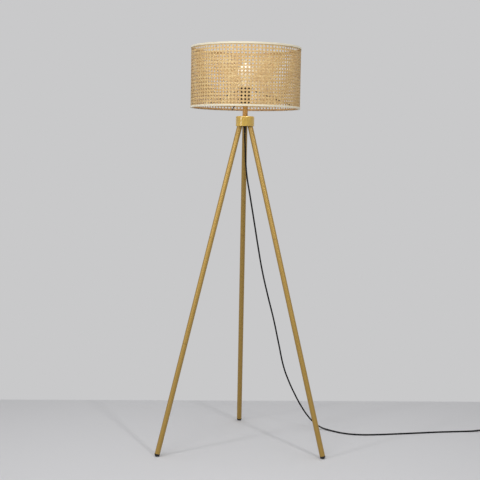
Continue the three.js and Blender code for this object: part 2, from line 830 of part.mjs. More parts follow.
class CoilCurve extends THREE.Curve {
  constructor() {
    super();
    this.leadTurns = cordDiameter / (2 * Math.PI * coilRadius);
    this.arcLengthDivisions = curveSamples * Math.ceil(coilTurns);
  }

  // A point of the spiral after some turns, clockwise from the start
  spiral(turns) {
    const radius = coilRadius - coilPitch * Math.min(turns, coilTurns - turns);
    const half = coilTurns / 2;
    const climb = THREE.MathUtils.smoothstep(turns, half - coilClimbTurns / 2, half + coilClimbTurns / 2);
    const point = polar(radius, coilStart - 360 * turns, coilFloor + coilPitch * climb);
    return point.add(new THREE.Vector3(...coilPlace, 0));
  }

  getPoint(share, target = new THREE.Vector3()) {
    const turns = share * (coilTurns + 2 * this.leadTurns) - this.leadTurns;
    const inside = Math.min(Math.max(turns, 0), coilTurns);
    const small = this.leadTurns * tangentShare;
    const before = this.spiral(Math.max(inside - small, 0));
    const after = this.spiral(Math.min(inside + small, coilTurns));
    const along = after.sub(before).normalize();
    const lead = (turns - inside) * 2 * Math.PI * coilRadius;
    return target.copy(this.spiral(inside)).addScaledVector(along, lead);
  }
}

// Least gap between the coil's turns, measured on points of its middle line
function coilGap(curve) {
  const points = curve.getSpacedPoints(coilStepsPerTurn * Math.ceil(coilTurns) * coilGapSamples);
  const apart = Math.ceil((points.length - 1) / (2 * coilTurns));
  let least = Infinity;
  points.forEach((point, i) => {
    for (let j = i + apart; j < points.length; j += 1) {
      least = Math.min(least, point.distanceTo(points[j]));
    }
  });
  return least - cordDiameter;
}

function coilTie() {
  const passes = Math.floor(coilTurns - tieTurn) + 1;
  const depths = Array.from({ length: passes }, (_, i) => Math.min(tieTurn + i, coilTurns - tieTurn - i));
  const outer = coilRadius - Math.min(...depths) * coilPitch + cordRadius + tieSlack;
  const inner = coilRadius - Math.max(...depths) * coilPitch - cordRadius - tieSlack;
  const height = coilPitch + 2 * (cordRadius + tieSlack);
  const width = outer - inner;
  const middle = tieThickness + height / 2;
  const reach = tieWidth / 2;
  const around = 2 * tieThickness;
  const strap = roundedBlock(width + around, height + around, tieCorner + tieThickness, -reach, reach);
  const space = roundedBlock(width, height, tieCorner, -reach - cutOverrun, reach + cutOverrun);
  const tie = cut(strap, space);
  tie.rotateX(Math.PI / 2);
  tie.translate((inner + outer) / 2, 0, middle);
  tie.rotateZ(THREE.MathUtils.degToRad(coilStart - 360 * tieTurn));
  return tie.translate(...coilPlace, 0);
}

// Plug, in its own group: +X from the cord to the pins

function plugBody() {
  const back = plugReliefLength;
  const front = back + plugLength;
  const shoulder = back + plugShoulderLength;
  const inset = plugEdge;
  const [narrow, wide] = [plugBackWidth / 2 - inset, plugWidth / 2 - inset];
  const shape = new THREE.Shape([
    new THREE.Vector2(back + inset, -narrow),
    new THREE.Vector2(shoulder, -wide),
    new THREE.Vector2(front - inset, -wide),
    new THREE.Vector2(front - inset, wide),
    new THREE.Vector2(shoulder, wide),
    new THREE.Vector2(back + inset, narrow),
  ]);
  const body = closed(
    new THREE.ExtrudeGeometry(shape, {
      depth: plugThickness - 2 * inset,
      bevelThickness: inset,
      bevelSize: inset,
      bevelSegments: edgeSteps,
    }),
  ).translate(0, 0, inset);
  const sleeve = taper(plugReliefLength + inset + weldOverlap, plugReliefDiameter, plugReliefTipDiameter);
  sleeve.rotateZ(Math.PI);
  sleeve.translate(plugReliefLength + inset + weldOverlap, 0, plugThickness / 2);
  return join(body, sleeve);
}

function plugPin(side) {
  const start = plugReliefLength + plugLength + seatGap;
  const radius = pinDiameter / 2;
  const tip = radius * pinTipShare;
  const outline = [[0, 0], [radius, 0], [radius, pinLength - tip], [tip, pinLength], [0, pinLength]];
  const pin = turned(outline, smallSides);
  pin.rotateY(Math.PI / 2);
  return pin.translate(start, (side * pinSpacing) / 2, plugThickness / 2);
}

function headingOf(degrees) {
  return polar(1, degrees, 0);
}

// Points that leave one fitting straight and meet the next one straight
function shortRun(from, leaving, to, arriving) {
  return [
    from.clone().addScaledVector(leaving, seatGap),
    from.clone().addScaledVector(leaving, seatGap + cordHug),
    to.clone().addScaledVector(arriving, -seatGap - cordHug),
    to.clone().addScaledVector(arriving, -seatGap),
  ];
}

function buildCords() {
  const heading = headingOf(switchHeading);
  const middle = new THREE.Vector3(...switchPlace, reliefHeight);
  const reliefReach = switchLength / 2 + seatGap + reliefLength;
  const inlet = middle.clone().addScaledVector(heading, -reliefReach);
  const outlet = middle.clone().addScaledVector(heading, reliefReach);
  const drop = cordAlong([
    new THREE.Vector3(0, 0, glandBottom - seatGap),
    new THREE.Vector3(0, 0, glandBottom - seatGap - cordHug),
    ...cordRoute.map((place) => new THREE.Vector3(...place)),
    inlet.clone().addScaledVector(heading, -seatGap - cordHug),
    inlet.clone().addScaledVector(heading, -seatGap),
  ]);
  add(cordSet, 'cord_drop', drop.geometry, 'blackRubber');

  const coil = new CoilCurve();
  const tail = cordAlong(shortRun(outlet, heading, coil.getPointAt(0), coil.getTangentAt(0)));
  add(cordSet, 'cord_tail', tail.geometry, 'blackRubber');
  const coilSteps = Math.ceil(coilStepsPerTurn * (coilTurns + 2 * coil.leadTurns));
  add(cordSet, 'cord_coil', tubeAlong(coil, cordRadius, coilSides, coilSteps), 'blackRubber');
  add(cordSet, 'coil_tie', coilTie(), 'blackPlastic');

  const coilEnd = coil.getPointAt(1);
  const plugHeading = headingOf(plugAngle);
  const plugStart = coilEnd.clone().addScaledVector(plugHeading, plugEndRun);
  plugStart.z = plugThickness / 2;
  const end = cordAlong(shortRun(coilEnd, coil.getTangentAt(1), plugStart, plugHeading));
  add(cordSet, 'cord_end', end.geometry, 'blackRubber');

  const plug = new THREE.Group();
  plug.position.set(plugStart.x, plugStart.y, 0);
  plug.rotation.z = THREE.MathUtils.degToRad(plugAngle);
  add(plug, 'plug_body', plugBody(), 'blackPlastic');
  add(plug, 'plug_pin_1', plugPin(-1), 'zinc');
  add(plug, 'plug_pin_2', plugPin(1), 'zinc');
  cordSet.add(plug);

  console.log(`least gap between the coil's turns: ${coilGap(coil).toFixed(2)} mm`);
  const runs = [drop.length, tail.length, coil.getLength(), end.length].map((size) => size.toFixed(0));
  console.log(`cord lengths: drop ${runs[0]}, tail ${runs[1]}, coil ${runs[2]}, end ${runs[3]} mm`);
}

buildStand();
for (let i = 0; i < legCount; i += 1) {
  buildLeg(i);
}
buildHolder();
buildShade();
buildSwitch();
buildCords();

// The origin goes below the middle of the lamp's own box, without the cord and what is on it
const model = new THREE.Group();
const middle = new THREE.Box3().setFromObject(lamp, true).getCenter(new THREE.Vector3());
model.add(lamp, cordSet);
lamp.position.set(-middle.x, -middle.y, 0);
cordSet.position.copy(lamp.position);
console.log(`lamp axis at x ${lamp.position.x.toFixed(3)}, y ${lamp.position.y.toFixed(3)} mm`);

export default model;
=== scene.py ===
import math
import random

import bmesh
import bpy
from mathutils import Matrix, Vector
from mathutils.geometry import interpolate_bezier


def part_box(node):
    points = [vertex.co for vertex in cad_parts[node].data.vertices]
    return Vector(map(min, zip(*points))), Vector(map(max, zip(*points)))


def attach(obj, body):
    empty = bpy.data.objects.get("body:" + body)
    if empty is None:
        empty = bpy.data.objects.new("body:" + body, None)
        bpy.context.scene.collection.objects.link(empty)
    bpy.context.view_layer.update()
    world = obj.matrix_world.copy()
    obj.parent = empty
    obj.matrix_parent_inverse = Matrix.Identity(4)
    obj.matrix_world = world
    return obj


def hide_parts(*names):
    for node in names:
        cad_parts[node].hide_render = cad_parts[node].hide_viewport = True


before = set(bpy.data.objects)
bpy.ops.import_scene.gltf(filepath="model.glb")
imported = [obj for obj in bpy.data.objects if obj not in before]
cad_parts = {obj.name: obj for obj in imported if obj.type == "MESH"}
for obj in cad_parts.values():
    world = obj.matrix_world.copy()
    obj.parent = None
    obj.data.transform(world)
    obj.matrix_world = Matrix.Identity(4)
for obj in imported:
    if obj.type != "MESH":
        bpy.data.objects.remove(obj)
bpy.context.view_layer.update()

fullTurn = 2 * math.pi
seatGap = 0.0003  # room between pieces that touch
weldDistance = 0.000001  # points closer than this are one


def middleOf(node):
    low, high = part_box(node)
    return (low + high) / 2


def roundNode(node):  # radius, bottom and top of a round upright node
    low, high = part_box(node)
    return (high.x - low.x) / 2, low.z, high.z


def newObject(name, data):
    made = bpy.data.objects.new(name, data)
    bpy.context.scene.collection.objects.link(made)
    return made


poleMiddle = middleOf("pole")
lampAxis = Vector((poleMiddle.x, poleMiddle.y, 0))
onAxis = Matrix.Translation(lampAxis)

# Camera, fitted to the legs, the feet and the shade's two rims; its angles are in degrees
viewpoint = {
    "fromAxis": (-0.0385, -3.7192, 1.0814),
    "pitch": -4.7734,
    "roll": 0.9434,
    "yaw": 0.42,
    "focalPixels": 1007.86,
    "imagePixels": 480,
    "sensor": 36.0,
}


def makeCamera():
    pitch, roll, yaw = [math.radians(viewpoint[name]) for name in ("pitch", "roll", "yaw")]
    ahead = Vector((math.sin(yaw) * math.cos(pitch), math.cos(yaw) * math.cos(pitch), math.sin(pitch)))
    right = ahead.cross(Vector((0, 0, 1))).normalized()
    up = right.cross(ahead)
    across = right * math.cos(roll) + up * math.sin(roll)
    upright = up * math.cos(roll) - right * math.sin(roll)
    data = bpy.data.cameras.new("camera")
    data.sensor_width = viewpoint["sensor"]
    data.lens = viewpoint["focalPixels"] / viewpoint["imagePixels"] * viewpoint["sensor"]
    camera = newObject("camera", data)
    turn = Matrix((across, upright, -ahead)).transposed().to_4x4()
    camera.matrix_world = Matrix.Translation(lampAxis + Vector(viewpoint["fromAxis"])) @ turn
    bpy.context.scene.camera = camera


makeCamera()
print("stage: camera")


# A colour as it is written, turned into the shader's linear one
def colour(red, green, blue):
    shares = [value / 255 for value in (red, green, blue)]
    return tuple(((s + 0.055) / 1.055) ** 2.4 if s > 0.04045 else s / 12.92 for s in shares) + (1.0,)


class Reading:  # a socket whose value can be reckoned with
    def __init__(self, finish, socket):
        self.finish = finish
        self.socket = socket

    def output(self, name):  # another output of the same node
        return Reading(self.finish, self.socket.node.outputs[name])

    def reckon(self, operation, *values):
        return self.finish.node("ShaderNodeMath", values, operation=operation)

    def __add__(self, other):
        return self.reckon("ADD", self, other)

    def __radd__(self, other):
        return self.reckon("ADD", other, self)

    def __sub__(self, other):
        return self.reckon("SUBTRACT", self, other)

    def __rsub__(self, other):
        return self.reckon("SUBTRACT", other, self)

    def __mul__(self, other):
        return self.reckon("MULTIPLY", self, other)

    def __rmul__(self, other):
        return self.reckon("MULTIPLY", other, self)


class Nodes:  # a node tree, with one way to add any node
    def __init__(self, tree):
        self.tree = tree

    def join(self, value, socket):
        if isinstance(value, Reading):
            self.tree.links.new(value.socket, socket)
        else:
            socket.default_value = value

    def node(self, kind, values=(), output=0, stops=None, **settings):
        made = self.tree.nodes.new(kind)
        for name, value in settings.items():
            setattr(made, name, value)
        if stops:
            while len(made.color_ramp.elements) < len(stops):
                made.color_ramp.elements.new(1.0)
            for element, (place, shade) in zip(made.color_ramp.elements, stops):
                element.position = place
                element.color = shade
        for key, value in values.items() if isinstance(values, dict) else enumerate(values):
            self.join(value, made.inputs[key])
        return Reading(self, made.outputs[output])


class Finish(Nodes):  # a material, with the nodes that feed its shader
    def __init__(self, name, constants):
        self.material = bpy.data.materials.new(name)
        self.material.use_nodes = True
        super().__init__(self.material.node_tree)
        self.shader = self.tree.nodes["Principled BSDF"]
        for socket, value in constants.items():
            self.shader.inputs[socket].default_value = value

    def place(self, centre=(0, 0, 0), scale=(1, 1, 1)):
        where = self.node("ShaderNodeTexCoord", output="Object")
        shift = [-c * s for c, s in zip(centre, scale)]
        return self.node("ShaderNodeMapping", {"Vector": where, "Location": shift, "Scale": scale})

    def noise(self, vector, scale, detail=2.0):
        return self.node("ShaderNodeTexNoise", {"Vector": vector, "Scale": scale, "Detail": detail})

    def between(self, factor, low, high):
        return self.node("ShaderNodeMix", {0: factor, 6: low, 7: high}, output=2, data_type="RGBA")

    def ramp(self, value, low, high, **settings):  # 0 at low, 1 at high
        return self.node("ShaderNodeMapRange", {0: value, 1: low, 2: high}, **settings)

    def feed(self, socket, value):
        self.join(value, self.shader.inputs[socket])

    def bump(self, height, strength, distance):
        values = {"Height": height, "Strength": strength, "Distance": distance}
        self.feed("Normal", self.node("ShaderNodeBump", values))


cloudDetail = 3.0  # octaves of the soft, wide noises


def weighed(first, second, share):  # two readings in one, the first with this share
    return first * share + second * (1 - share)


# Metal with a fine satin grain, darker in clouds, under a lacquer; rough is its least roughness
metalSkin = {"clouds": 9.0, "grain": 1400.0, "cloudShare": 0.7, "cloudRough": 0.08, "grainRough": 0.06,
             "bump": 0.12, "depth": 0.0001}


def metalFinish(name, light, dark, rough, metallic=1.0, coat=0.0, coatRough=0.1, coatBend=1.5):
    skin = metalSkin
    finish = Finish(name, {"Metallic": metallic, "Coat Weight": coat, "Coat Roughness": coatRough,
                           "Coat IOR": coatBend})
    where = finish.place()
    clouds = finish.noise(where, skin["clouds"], cloudDetail)
    grain = finish.noise(where, skin["grain"])
    mixed = weighed(clouds, grain, skin["cloudShare"])
    finish.feed("Base Color", finish.between(mixed, colour(*dark), colour(*light)))
    finish.feed("Roughness", rough + clouds * skin["cloudRough"] + grain * skin["grainRough"])
    finish.bump(grain, skin["bump"], skin["depth"])
    return finish


# Moulded plastic or rubber: a fine pebbled skin, worn in patches
mouldedSkin = {"wear": 45.0, "wearShare": 0.6, "wearRough": 0.1, "grainRough": 0.06, "depth": 0.0002}


def mouldedFinish(name, light, dark, rough, grain=900.0, bump=0.2, gloss=0.5):
    skin = mouldedSkin
    finish = Finish(name, {"Specular IOR Level": gloss})
    where = finish.place()
    pebbles = finish.noise(where, grain)
    wear = finish.noise(where, skin["wear"], cloudDetail)
    mixed = weighed(wear, pebbles, skin["wearShare"])
    finish.feed("Base Color", finish.between(mixed, colour(*dark), colour(*light)))
    finish.feed("Roughness", rough + wear * skin["wearRough"] + pebbles * skin["grainRough"])
    finish.bump(pebbles, bump, skin["depth"])
    return finish


# Split cane: shiny and long-fibred; each strand has a tone, which also shifts its fibres and patches
caneSkin = {"fibresAcross": 2600.0, "fibresAlong": 26.0, "patchesAlong": 34.0, "fibreShift": 41.0,
            "patchShift": 23.0, "toneShare": 0.45, "fibreShare": 0.3, "patchShare": 0.3, "rough": 0.42,
            "fibreRough": 0.2, "coat": 0.1, "patchCoat": 0.12, "coatRough": 0.35, "bump": 0.35,
            "depth": 0.0001}
caneShades = [(0.0, colour(153, 113, 66)), (0.42, colour(193, 157, 102)), (0.75, colour(211, 183, 127)),
              (1.0, colour(224, 204, 155))]


def caneFinish():
    skin = caneSkin
    finish = Finish("splitCane", {"Coat Roughness": skin["coatRough"]})
    grain = finish.node("ShaderNodeAttribute", output="Vector", attribute_name="grain")
    tone = finish.node("ShaderNodeAttribute", output="Fac", attribute_name="tone")
    across = finish.node("ShaderNodeSeparateXYZ", [grain])
    along = across.output("Y")
    fibreAt = finish.node("ShaderNodeCombineXYZ", [across * skin["fibresAcross"], along * skin["fibresAlong"],
                                                   tone * skin["fibreShift"]])
    fibre = finish.noise(fibreAt, 1.0)
    patchAt = finish.node("ShaderNodeCombineXYZ", [along * skin["patchesAlong"], tone * skin["patchShift"]])
    patch = finish.noise(patchAt, 1.0)
    mixed = tone * skin["toneShare"] + fibre * skin["fibreShare"] + patch * skin["patchShare"]
    finish.feed("Base Color", finish.node("ShaderNodeValToRGB", [mixed], stops=caneShades))
    finish.feed("Roughness", skin["rough"] + fibre * skin["fibreRough"])
    finish.feed("Coat Weight", skin["coat"] + patch * skin["patchCoat"])
    finish.bump(fibre, skin["bump"], skin["depth"])
    return finish


# Edge tape: a plain weave, its threads worked out from the height and the angle round the shade
tapeSkin = {"threadsRound": 1500, "threadsPerMetre": 1300.0, "soil": 30.0, "clothShare": 0.35, "rough": 0.8,
            "clothRough": 0.1, "bump": 0.4, "depth": 0.0001}


def tapeFinish():
    skin = tapeSkin
    finish = Finish("edgeTape", {"Sheen Weight": 0.25, "Sheen Roughness": 0.5})
    where = finish.place(centre=lampAxis)
    sideways = finish.node("ShaderNodeSeparateXYZ", [where])
    angle = sideways.reckon("ARCTAN2", sideways.output("Y"), sideways)
    uprights = angle.reckon("SINE", angle * skin["threadsRound"])
    rounds = angle.reckon("SINE", sideways.output("Z") * (skin["threadsPerMetre"] * fullTurn))
    cloth = uprights * rounds * 0.5 + 0.5
    mixed = weighed(cloth, finish.noise(where, skin["soil"], cloudDetail), skin["clothShare"])
    finish.feed("Base Color", finish.between(mixed, colour(204, 194, 168), colour(224, 216, 194)))
    finish.feed("Roughness", skin["rough"] + cloth * skin["clothRough"])
    finish.bump(cloth, skin["bump"], skin["depth"])
    return finish


# Opal glass of the lit bulb, warmer towards its neck
bulbLight = {"strength": 0.22, "neck": colour(246, 204, 134), "crown": colour(252, 228, 176),
             "clouds": 14.0, "riseShare": 0.85}


def bulbFinish():
    finish = Finish("opalGlass", {"Roughness": 0.3, "Emission Strength": bulbLight["strength"]})
    bottom, top = roundNode("bulb_glass")[1:]
    where = finish.place(centre=(0, 0, bottom), scale=(1, 1, 1 / (top - bottom)))
    rise = finish.node("ShaderNodeSeparateXYZ", [where], output="Z")
    clouds = finish.noise(where, bulbLight["clouds"], cloudDetail)
    mixed = weighed(rise, clouds, bulbLight["riseShare"])
    finish.feed("Emission Color", finish.between(mixed, bulbLight["neck"], bulbLight["crown"]))
    finish.feed("Base Color", finish.between(clouds, colour(240, 236, 226), colour(250, 248, 242)))
    return finish


glaze = {"specks": 260.0, "rough": 0.35, "speckRough": 0.15}


def ceramicFinish():
    finish = Finish("glazedCeramic", {"Coat Weight": 0.4})
    specks = finish.noise(finish.place(), glaze["specks"], cloudDetail)
    finish.feed("Base Color", finish.between(specks, colour(214, 208, 196), colour(238, 234, 224)))
    finish.feed("Roughness", glaze["rough"] + specks * glaze["speckRough"])
    return finish


brass = metalFinish("satinBrass", (174, 141, 69), (166, 133, 61), rough=0.46, metallic=0.6, coat=0.4,
                    coatRough=0.3)
hubBrass = metalFinish("polishedBrass", (230, 192, 70), (213, 174, 56), rough=0.52, metallic=0.5, coat=1.0,
                       coatRough=0.15, coatBend=1.8)
copperGold = metalFinish("copperGold", (212, 166, 96), (192, 145, 78), rough=0.44, metallic=0.7, coat=0.3)
steel = metalFinish("zincPlate", (190, 190, 188), (150, 151, 150), rough=0.34)
nickel = metalFinish("nickelPlate", (214, 212, 206), (186, 184, 178), rough=0.2)
brownWire = mouldedFinish("brownWire", (196, 154, 104), (170, 126, 80), rough=0.42, grain=700.0)
darkWire = mouldedFinish("darkWire", (52, 38, 30), (30, 22, 18), rough=0.37, grain=700.0)
blackPlastic = mouldedFinish("blackPlastic", (25, 21, 19), (14, 12, 11), rough=0.34, gloss=0.35)
blackRubber = mouldedFinish("blackRubber", (34, 33, 32), (20, 19, 19), rough=0.67, grain=1300.0, bump=0.3)
cordSkin = mouldedFinish("cordSkin", (20, 20, 20), (12, 12, 12), rough=0.52, grain=2000.0, gloss=0.15)
cane = caneFinish()
tape = tapeFinish()
opalGlass = bulbFinish()
ceramic = ceramicFinish()
print("stage: materials")


# Modelling helpers
def addPiece(name, bm, finish, slot, node, body="lamp", sharp=32):
    for face in bm.faces:
        face.smooth = True
    for edge in bm.edges:
        if len(edge.link_faces) == 2 and edge.calc_face_angle(0) > math.radians(sharp):
            edge.smooth = False
    mesh = bpy.data.meshes.new(name)
    bm.to_mesh(mesh)
    bm.free()
    mesh.materials.append(finish.material)
    piece = newObject(name, mesh)
    piece.modifiers.new("evenShading", "WEIGHTED_NORMAL").keep_sharp = True
    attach(piece, body)
    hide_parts(node)


def moved(bm, matrix):
    bmesh.ops.transform(bm, matrix=matrix, verts=bm.verts)
    return bm


def turnedAt(centre, degrees):
    return Matrix.Translation(centre) @ Matrix.Rotation(math.radians(degrees), 4, "Z")


def everythingIn(bm):
    return bm.verts[:] + bm.edges[:] + bm.faces[:]


def vertsIn(items):
    return [item for item in items if isinstance(item, bmesh.types.BMVert)]


def bevelled(bm, edges, size, segments):
    bmesh.ops.bevel(bm, geom=edges, offset=size, offset_type="OFFSET", affect="EDGES", segments=segments,
                    profile=0.5, material=-1, clamp_overlap=True)


def softened(bm, size, segments=2, angle=35):
    sharp = [e for e in bm.edges if len(e.link_faces) == 2 and e.calc_face_angle(0) > math.radians(angle)]
    bevelled(bm, sharp, size, segments)
    return bm


# A round piece about Z from its outline of (radius, height) points
def spun(outline, steps=64, soft=0.0):
    bm = bmesh.new()
    verts = [bm.verts.new((radius, 0, height)) for radius, height in outline]
    edges = [bm.edges.new(pair) for pair in zip(verts, verts[1:])]
    bmesh.ops.spin(bm, geom=verts + edges, cent=(0, 0, 0), axis=(0, 0, 1), angle=fullTurn, steps=steps,
                   use_merge=True)
    bmesh.ops.remove_doubles(bm, verts=bm.verts, dist=weldDistance)
    bmesh.ops.recalc_face_normals(bm, faces=bm.faces)
    return softened(bm, soft) if soft else bm


def addSpun(name, outline, finish, slot, node, place=onAxis, steps=64, soft=0.0, **settings):
    addPiece(name, moved(spun(outline, steps, soft), place), finish, slot, node, **settings)


def tubeOutline(inner, outer, bottom, top):
    return [(inner, bottom), (outer, bottom), (outer, top), (inner, top), (inner, bottom)]


# An arc of an outline about (radius, height), from one angle to another in degrees
def arcPoints(radius, height, size, start, end, steps):
    angles = [math.radians(start + (end - start) * i / steps) for i in range(steps + 1)]
    return [(radius + size * math.cos(a), height + size * math.sin(a)) for a in angles]


def gathered(*parts):
    whole = bmesh.new()
    for part in parts:
        mesh = bpy.data.meshes.new("part")
        part.to_mesh(mesh)
        part.free()
        whole.from_mesh(mesh)
        bpy.data.meshes.remove(mesh)
    return whole


# A straight round bar between two points
def bar(start, end, radius, sides=16):
    bm = bmesh.new()
    bmesh.ops.create_cone(bm, cap_ends=True, segments=sides, radius1=radius, radius2=radius,
                          depth=(end - start).length)
    turn = (end - start).to_track_quat("Z", "Y").to_matrix().to_4x4()
    return moved(bm, Matrix.Translation((start + end) / 2) @ turn)


# The rings of a strain relief, in shares of one ring's length
ribSizes = {"groove": 0.0006, "ringShare": 0.6, "grooveStartShare": 0.68, "grooveEndShare": 0.92}


def ribbedTaper(start, end, wide, narrow, rings):
    size = ribSizes
    points = []
    step = (end - start) / rings
    for i in range(rings):
        near, far = wide + (narrow - wide) * i / rings, wide + (narrow - wide) * (i + 1) / rings
        points += [(near, start + step * i), (far, start + step * (i + size["ringShare"])),
                   (far - size["groove"], start + step * (i + size["grooveStartShare"])),
                   (far - size["groove"], start + step * (i + size["grooveEndShare"]))]
    return [*points, (narrow, end)]


# Cords: the route that the solid follows, in metres from the lamp's axis
cordSizes = {
    "diameter": 0.006,
    "hug": 0.012,  # straight cord at each fitting
    "switchHeading": 8.0,
    "reliefHeight": 0.007,
    "switchHalf": 0.039,
    "reliefLength": 0.022,
    "coilPlace": (1.153, 0.202),
    "coilRadius": 0.0385,
    "coilTurns": 3.25,
    "coilPitch": 0.0067,
    "coilStart": 98.0,
    "coilClimbTurns": 0.5,
    "coilFloor": 0.0044,
    "pointsPerTurn": 24,
    "leadShare": 0.01,  # of a diameter, over which an end's heading is taken
    "plugHeading": -86.0,
    "plugRun": 0.034,
    "plugAxis": 0.00685,
    "dropLength": 1.935,
    "spareLength": 0.76,
}
cordRoute = [
    (0.002, 0.001, 1.120),
    (0.005, 0.009, 1.060),
    (0.011, 0.021, 1.004),
    (0.024, 0.036, 0.932),
    (0.041, 0.056, 0.837),
    (0.059, 0.076, 0.735),
    (0.077, 0.096, 0.642),
    (0.100, 0.115, 0.548),
    (0.125, 0.134, 0.453),
    (0.147, 0.153, 0.356),
    (0.170, 0.173, 0.258),
    (0.190, 0.184, 0.204),
    (0.215, 0.195, 0.150),
    (0.243, 0.206, 0.098),
    (0.271, 0.215, 0.056),
    (0.299, 0.221, 0.026),
    (0.326, 0.217, 0.009),
    (0.352, 0.202, 0.004),
    (0.376, 0.181, 0.0032),
    (0.404, 0.160, 0.0031),
    (0.440, 0.145, 0.0031),
    (0.490, 0.140, 0.0031),
    (0.550, 0.147, 0.0031),
    (0.620, 0.160, 0.0031),
    (0.700, 0.176, 0.0031),
    (0.790, 0.195, 0.0031),
    (0.870, 0.207, 0.0031),
    (0.930, 0.215, 0.0039),
]


def heading(degrees):
    return Vector((math.cos(math.radians(degrees)), math.sin(math.radians(degrees)), 0))


# A point of the coil after some turns, clockwise: in on the lower layer, out again on the upper one
def coilPoint(turns):
    size = cordSizes
    radius = size["coilRadius"] - size["coilPitch"] * min(turns, size["coilTurns"] - turns)
    rise = (turns - size["coilTurns"] / 2) / size["coilClimbTurns"] + 0.5
    rise = min(max(rise, 0), 1)
    height = size["coilFloor"] + size["coilPitch"] * rise * rise * (3 - 2 * rise)  # eased at both ends
    place = Vector((*size["coilPlace"], height))
    return lampAxis + place + heading(size["coilStart"] - 360 * turns) * radius


def coilLead(turns, nearby):
    return (coilPoint(turns) - coilPoint(nearby)).normalized() * cordSizes["diameter"]


switchCentre = Vector((middleOf("switch_base").x, middleOf("switch_base").y, 0))
switchAxis = switchCentre + Vector((0, 0, cordSizes["reliefHeight"]))
switchWay = heading(cordSizes["switchHeading"])
switchReach = cordSizes["switchHalf"] + seatGap + cordSizes["reliefLength"]  # out to a relief's tip
glandTip = Vector((lampAxis.x, lampAxis.y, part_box("cord_gland")[0].z))
leadTurns = cordSizes["leadShare"] * cordSizes["diameter"] / (fullTurn * cordSizes["coilRadius"])
coilLeadIn = coilLead(0, leadTurns)
coilLeadOut = coilLead(cordSizes["coilTurns"], cordSizes["coilTurns"] - leadTurns)
plugWay = heading(cordSizes["plugHeading"])
plugStart = coilPoint(cordSizes["coilTurns"]) + coilLeadOut + plugWay * cordSizes["plugRun"]
plugStart.z = cordSizes["plugAxis"]


def dropPoints():
    hug = cordSizes["hug"]
    inlet = switchAxis - switchWay * (switchReach + seatGap)
    start = glandTip - Vector((0, 0, seatGap))
    return [start, start - Vector((0, 0, hug)), *[lampAxis + Vector(p) for p in cordRoute],
            inlet - switchWay * hug, inlet]


def sparePoints():
    size = cordSizes
    outlet = switchAxis + switchWay * (switchReach + seatGap)
    count = math.ceil(size["coilTurns"] * size["pointsPerTurn"])
    coil = [coilPoint(size["coilTurns"] * i / count) for i in range(count + 1)]
    return [outlet, outlet + switchWay * size["hug"], coil[0] + coilLeadIn, *coil, coil[-1] + coilLeadOut,
            plugStart - plugWay * size["hug"], plugStart - plugWay * seatGap]


def cordPiece(name, points, nodes):
    data = bpy.data.curves.new(name, "CURVE")
    data.dimensions = "3D"
    data.bevel_depth = cordSizes["diameter"] / 2
    data.bevel_resolution = 3
    data.resolution_u = 6
    data.use_fill_caps = True
    spline = data.splines.new("BEZIER")
    spline.bezier_points.add(len(points) - 1)
    for knot, point in zip(spline.bezier_points, points):
        knot.co = point
        knot.handle_left_type = "AUTO"
        knot.handle_right_type = "AUTO"
    data.materials.append(cordSkin.material)
    piece = newObject(name, data)
    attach(piece, "lamp")
    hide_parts(*nodes)
    return piece


dropCord = cordPiece("dropCord", dropPoints(), ["cord_drop"])
spareCord = cordPiece("spareCord", sparePoints(), ["cord_tail", "cord_coil", "cord_end"])
print("stage: cords")


# Hub, hollow and open below
hubSizes = {
    "wall": 0.0014,
    "topRound": 0.005,
    "rimRound": 0.0011,
    "upstand": 0.010,
    "spigotRadius": 0.008,
    "bore": 0.0053,
    "steps": 96,
}


def makeHub():
    size = hubSizes
    radius, bottom, tip = roundNode("hub_cap")
    bore, spigot, topRound, rimRound = size["bore"], size["spigotRadius"], size["topRound"], size["rimRound"]
    top = tip - size["upstand"]
    inner, roof, innerRound = radius - size["wall"], top - size["wall"], topRound - size["wall"]
    outline = [
        (bore, tip),
        (spigot, tip),
        (spigot, top),
        *arcPoints(radius - topRound, top - topRound, topRound, 90, 0, steps=8),
        *arcPoints(radius - rimRound, bottom + rimRound, rimRound, 0, -90, steps=5),
        (inner, bottom),
        *arcPoints(inner - innerRound, roof - innerRound, innerRound, 0, 90, steps=6),
        (bore, roof),
        (bore, tip),
    ]
    addSpun("hubCap", outline, hubBrass, "brass", "hub_cap", steps=size["steps"])


# Pole, with the set screw at its foot
poleSizes = {"wall": 0.0012, "edge": 0.0004, "screwAngle": -46.0, "screwRise": 0.005, "screwRadius": 0.002,
             "screwProud": 0.0005, "screwSides": 24, "socketInset": 0.0008, "socketDepth": 0.0012}


def makePole():
    size = poleSizes
    radius, bottom, top = roundNode("pole")
    inner = radius - size["wall"]
    addSpun("poleTube", tubeOutline(inner, radius, bottom, top), copperGold, "copper_gold", "pole",
            soft=size["edge"])
    way = heading(size["screwAngle"])
    foot = lampAxis + Vector((0, 0, bottom + size["screwRise"] - seatGap))
    screw = bar(foot + way * inner, foot + way * (radius + size["screwProud"]), size["screwRadius"],
                size["screwSides"])
    end = max(screw.faces, key=lambda f: (f.calc_center_median() - foot).dot(way))
    bmesh.ops.inset_individual(screw, faces=[end], thickness=size["socketInset"])
    bmesh.ops.translate(screw, verts=end.verts, vec=-way * size["socketDepth"])
    addPiece("setScrew", screw, darkWire, "dark_wire", "pole_screw")


# Legs: three tubes each, with a fine shadow line where two meet, and a rubber tip
legSizes = {
    "radius": 0.0095,
    "bore": 0.0085,
    "inset": 0.004,
    "firstJoint": 0.424,
    "secondJoint": 0.818,
    "jointHalf": 0.0007,
    "edge": 0.0003,
    "footRadius": 0.0097,
    "footShoulder": 0.0008,
    "footPlug": 0.015,
    "footPlugRadius": 0.0082,
    "footFlat": 0.0015,
    "steps": 48,
}
tubeNames = ("upper", "middle", "lower")


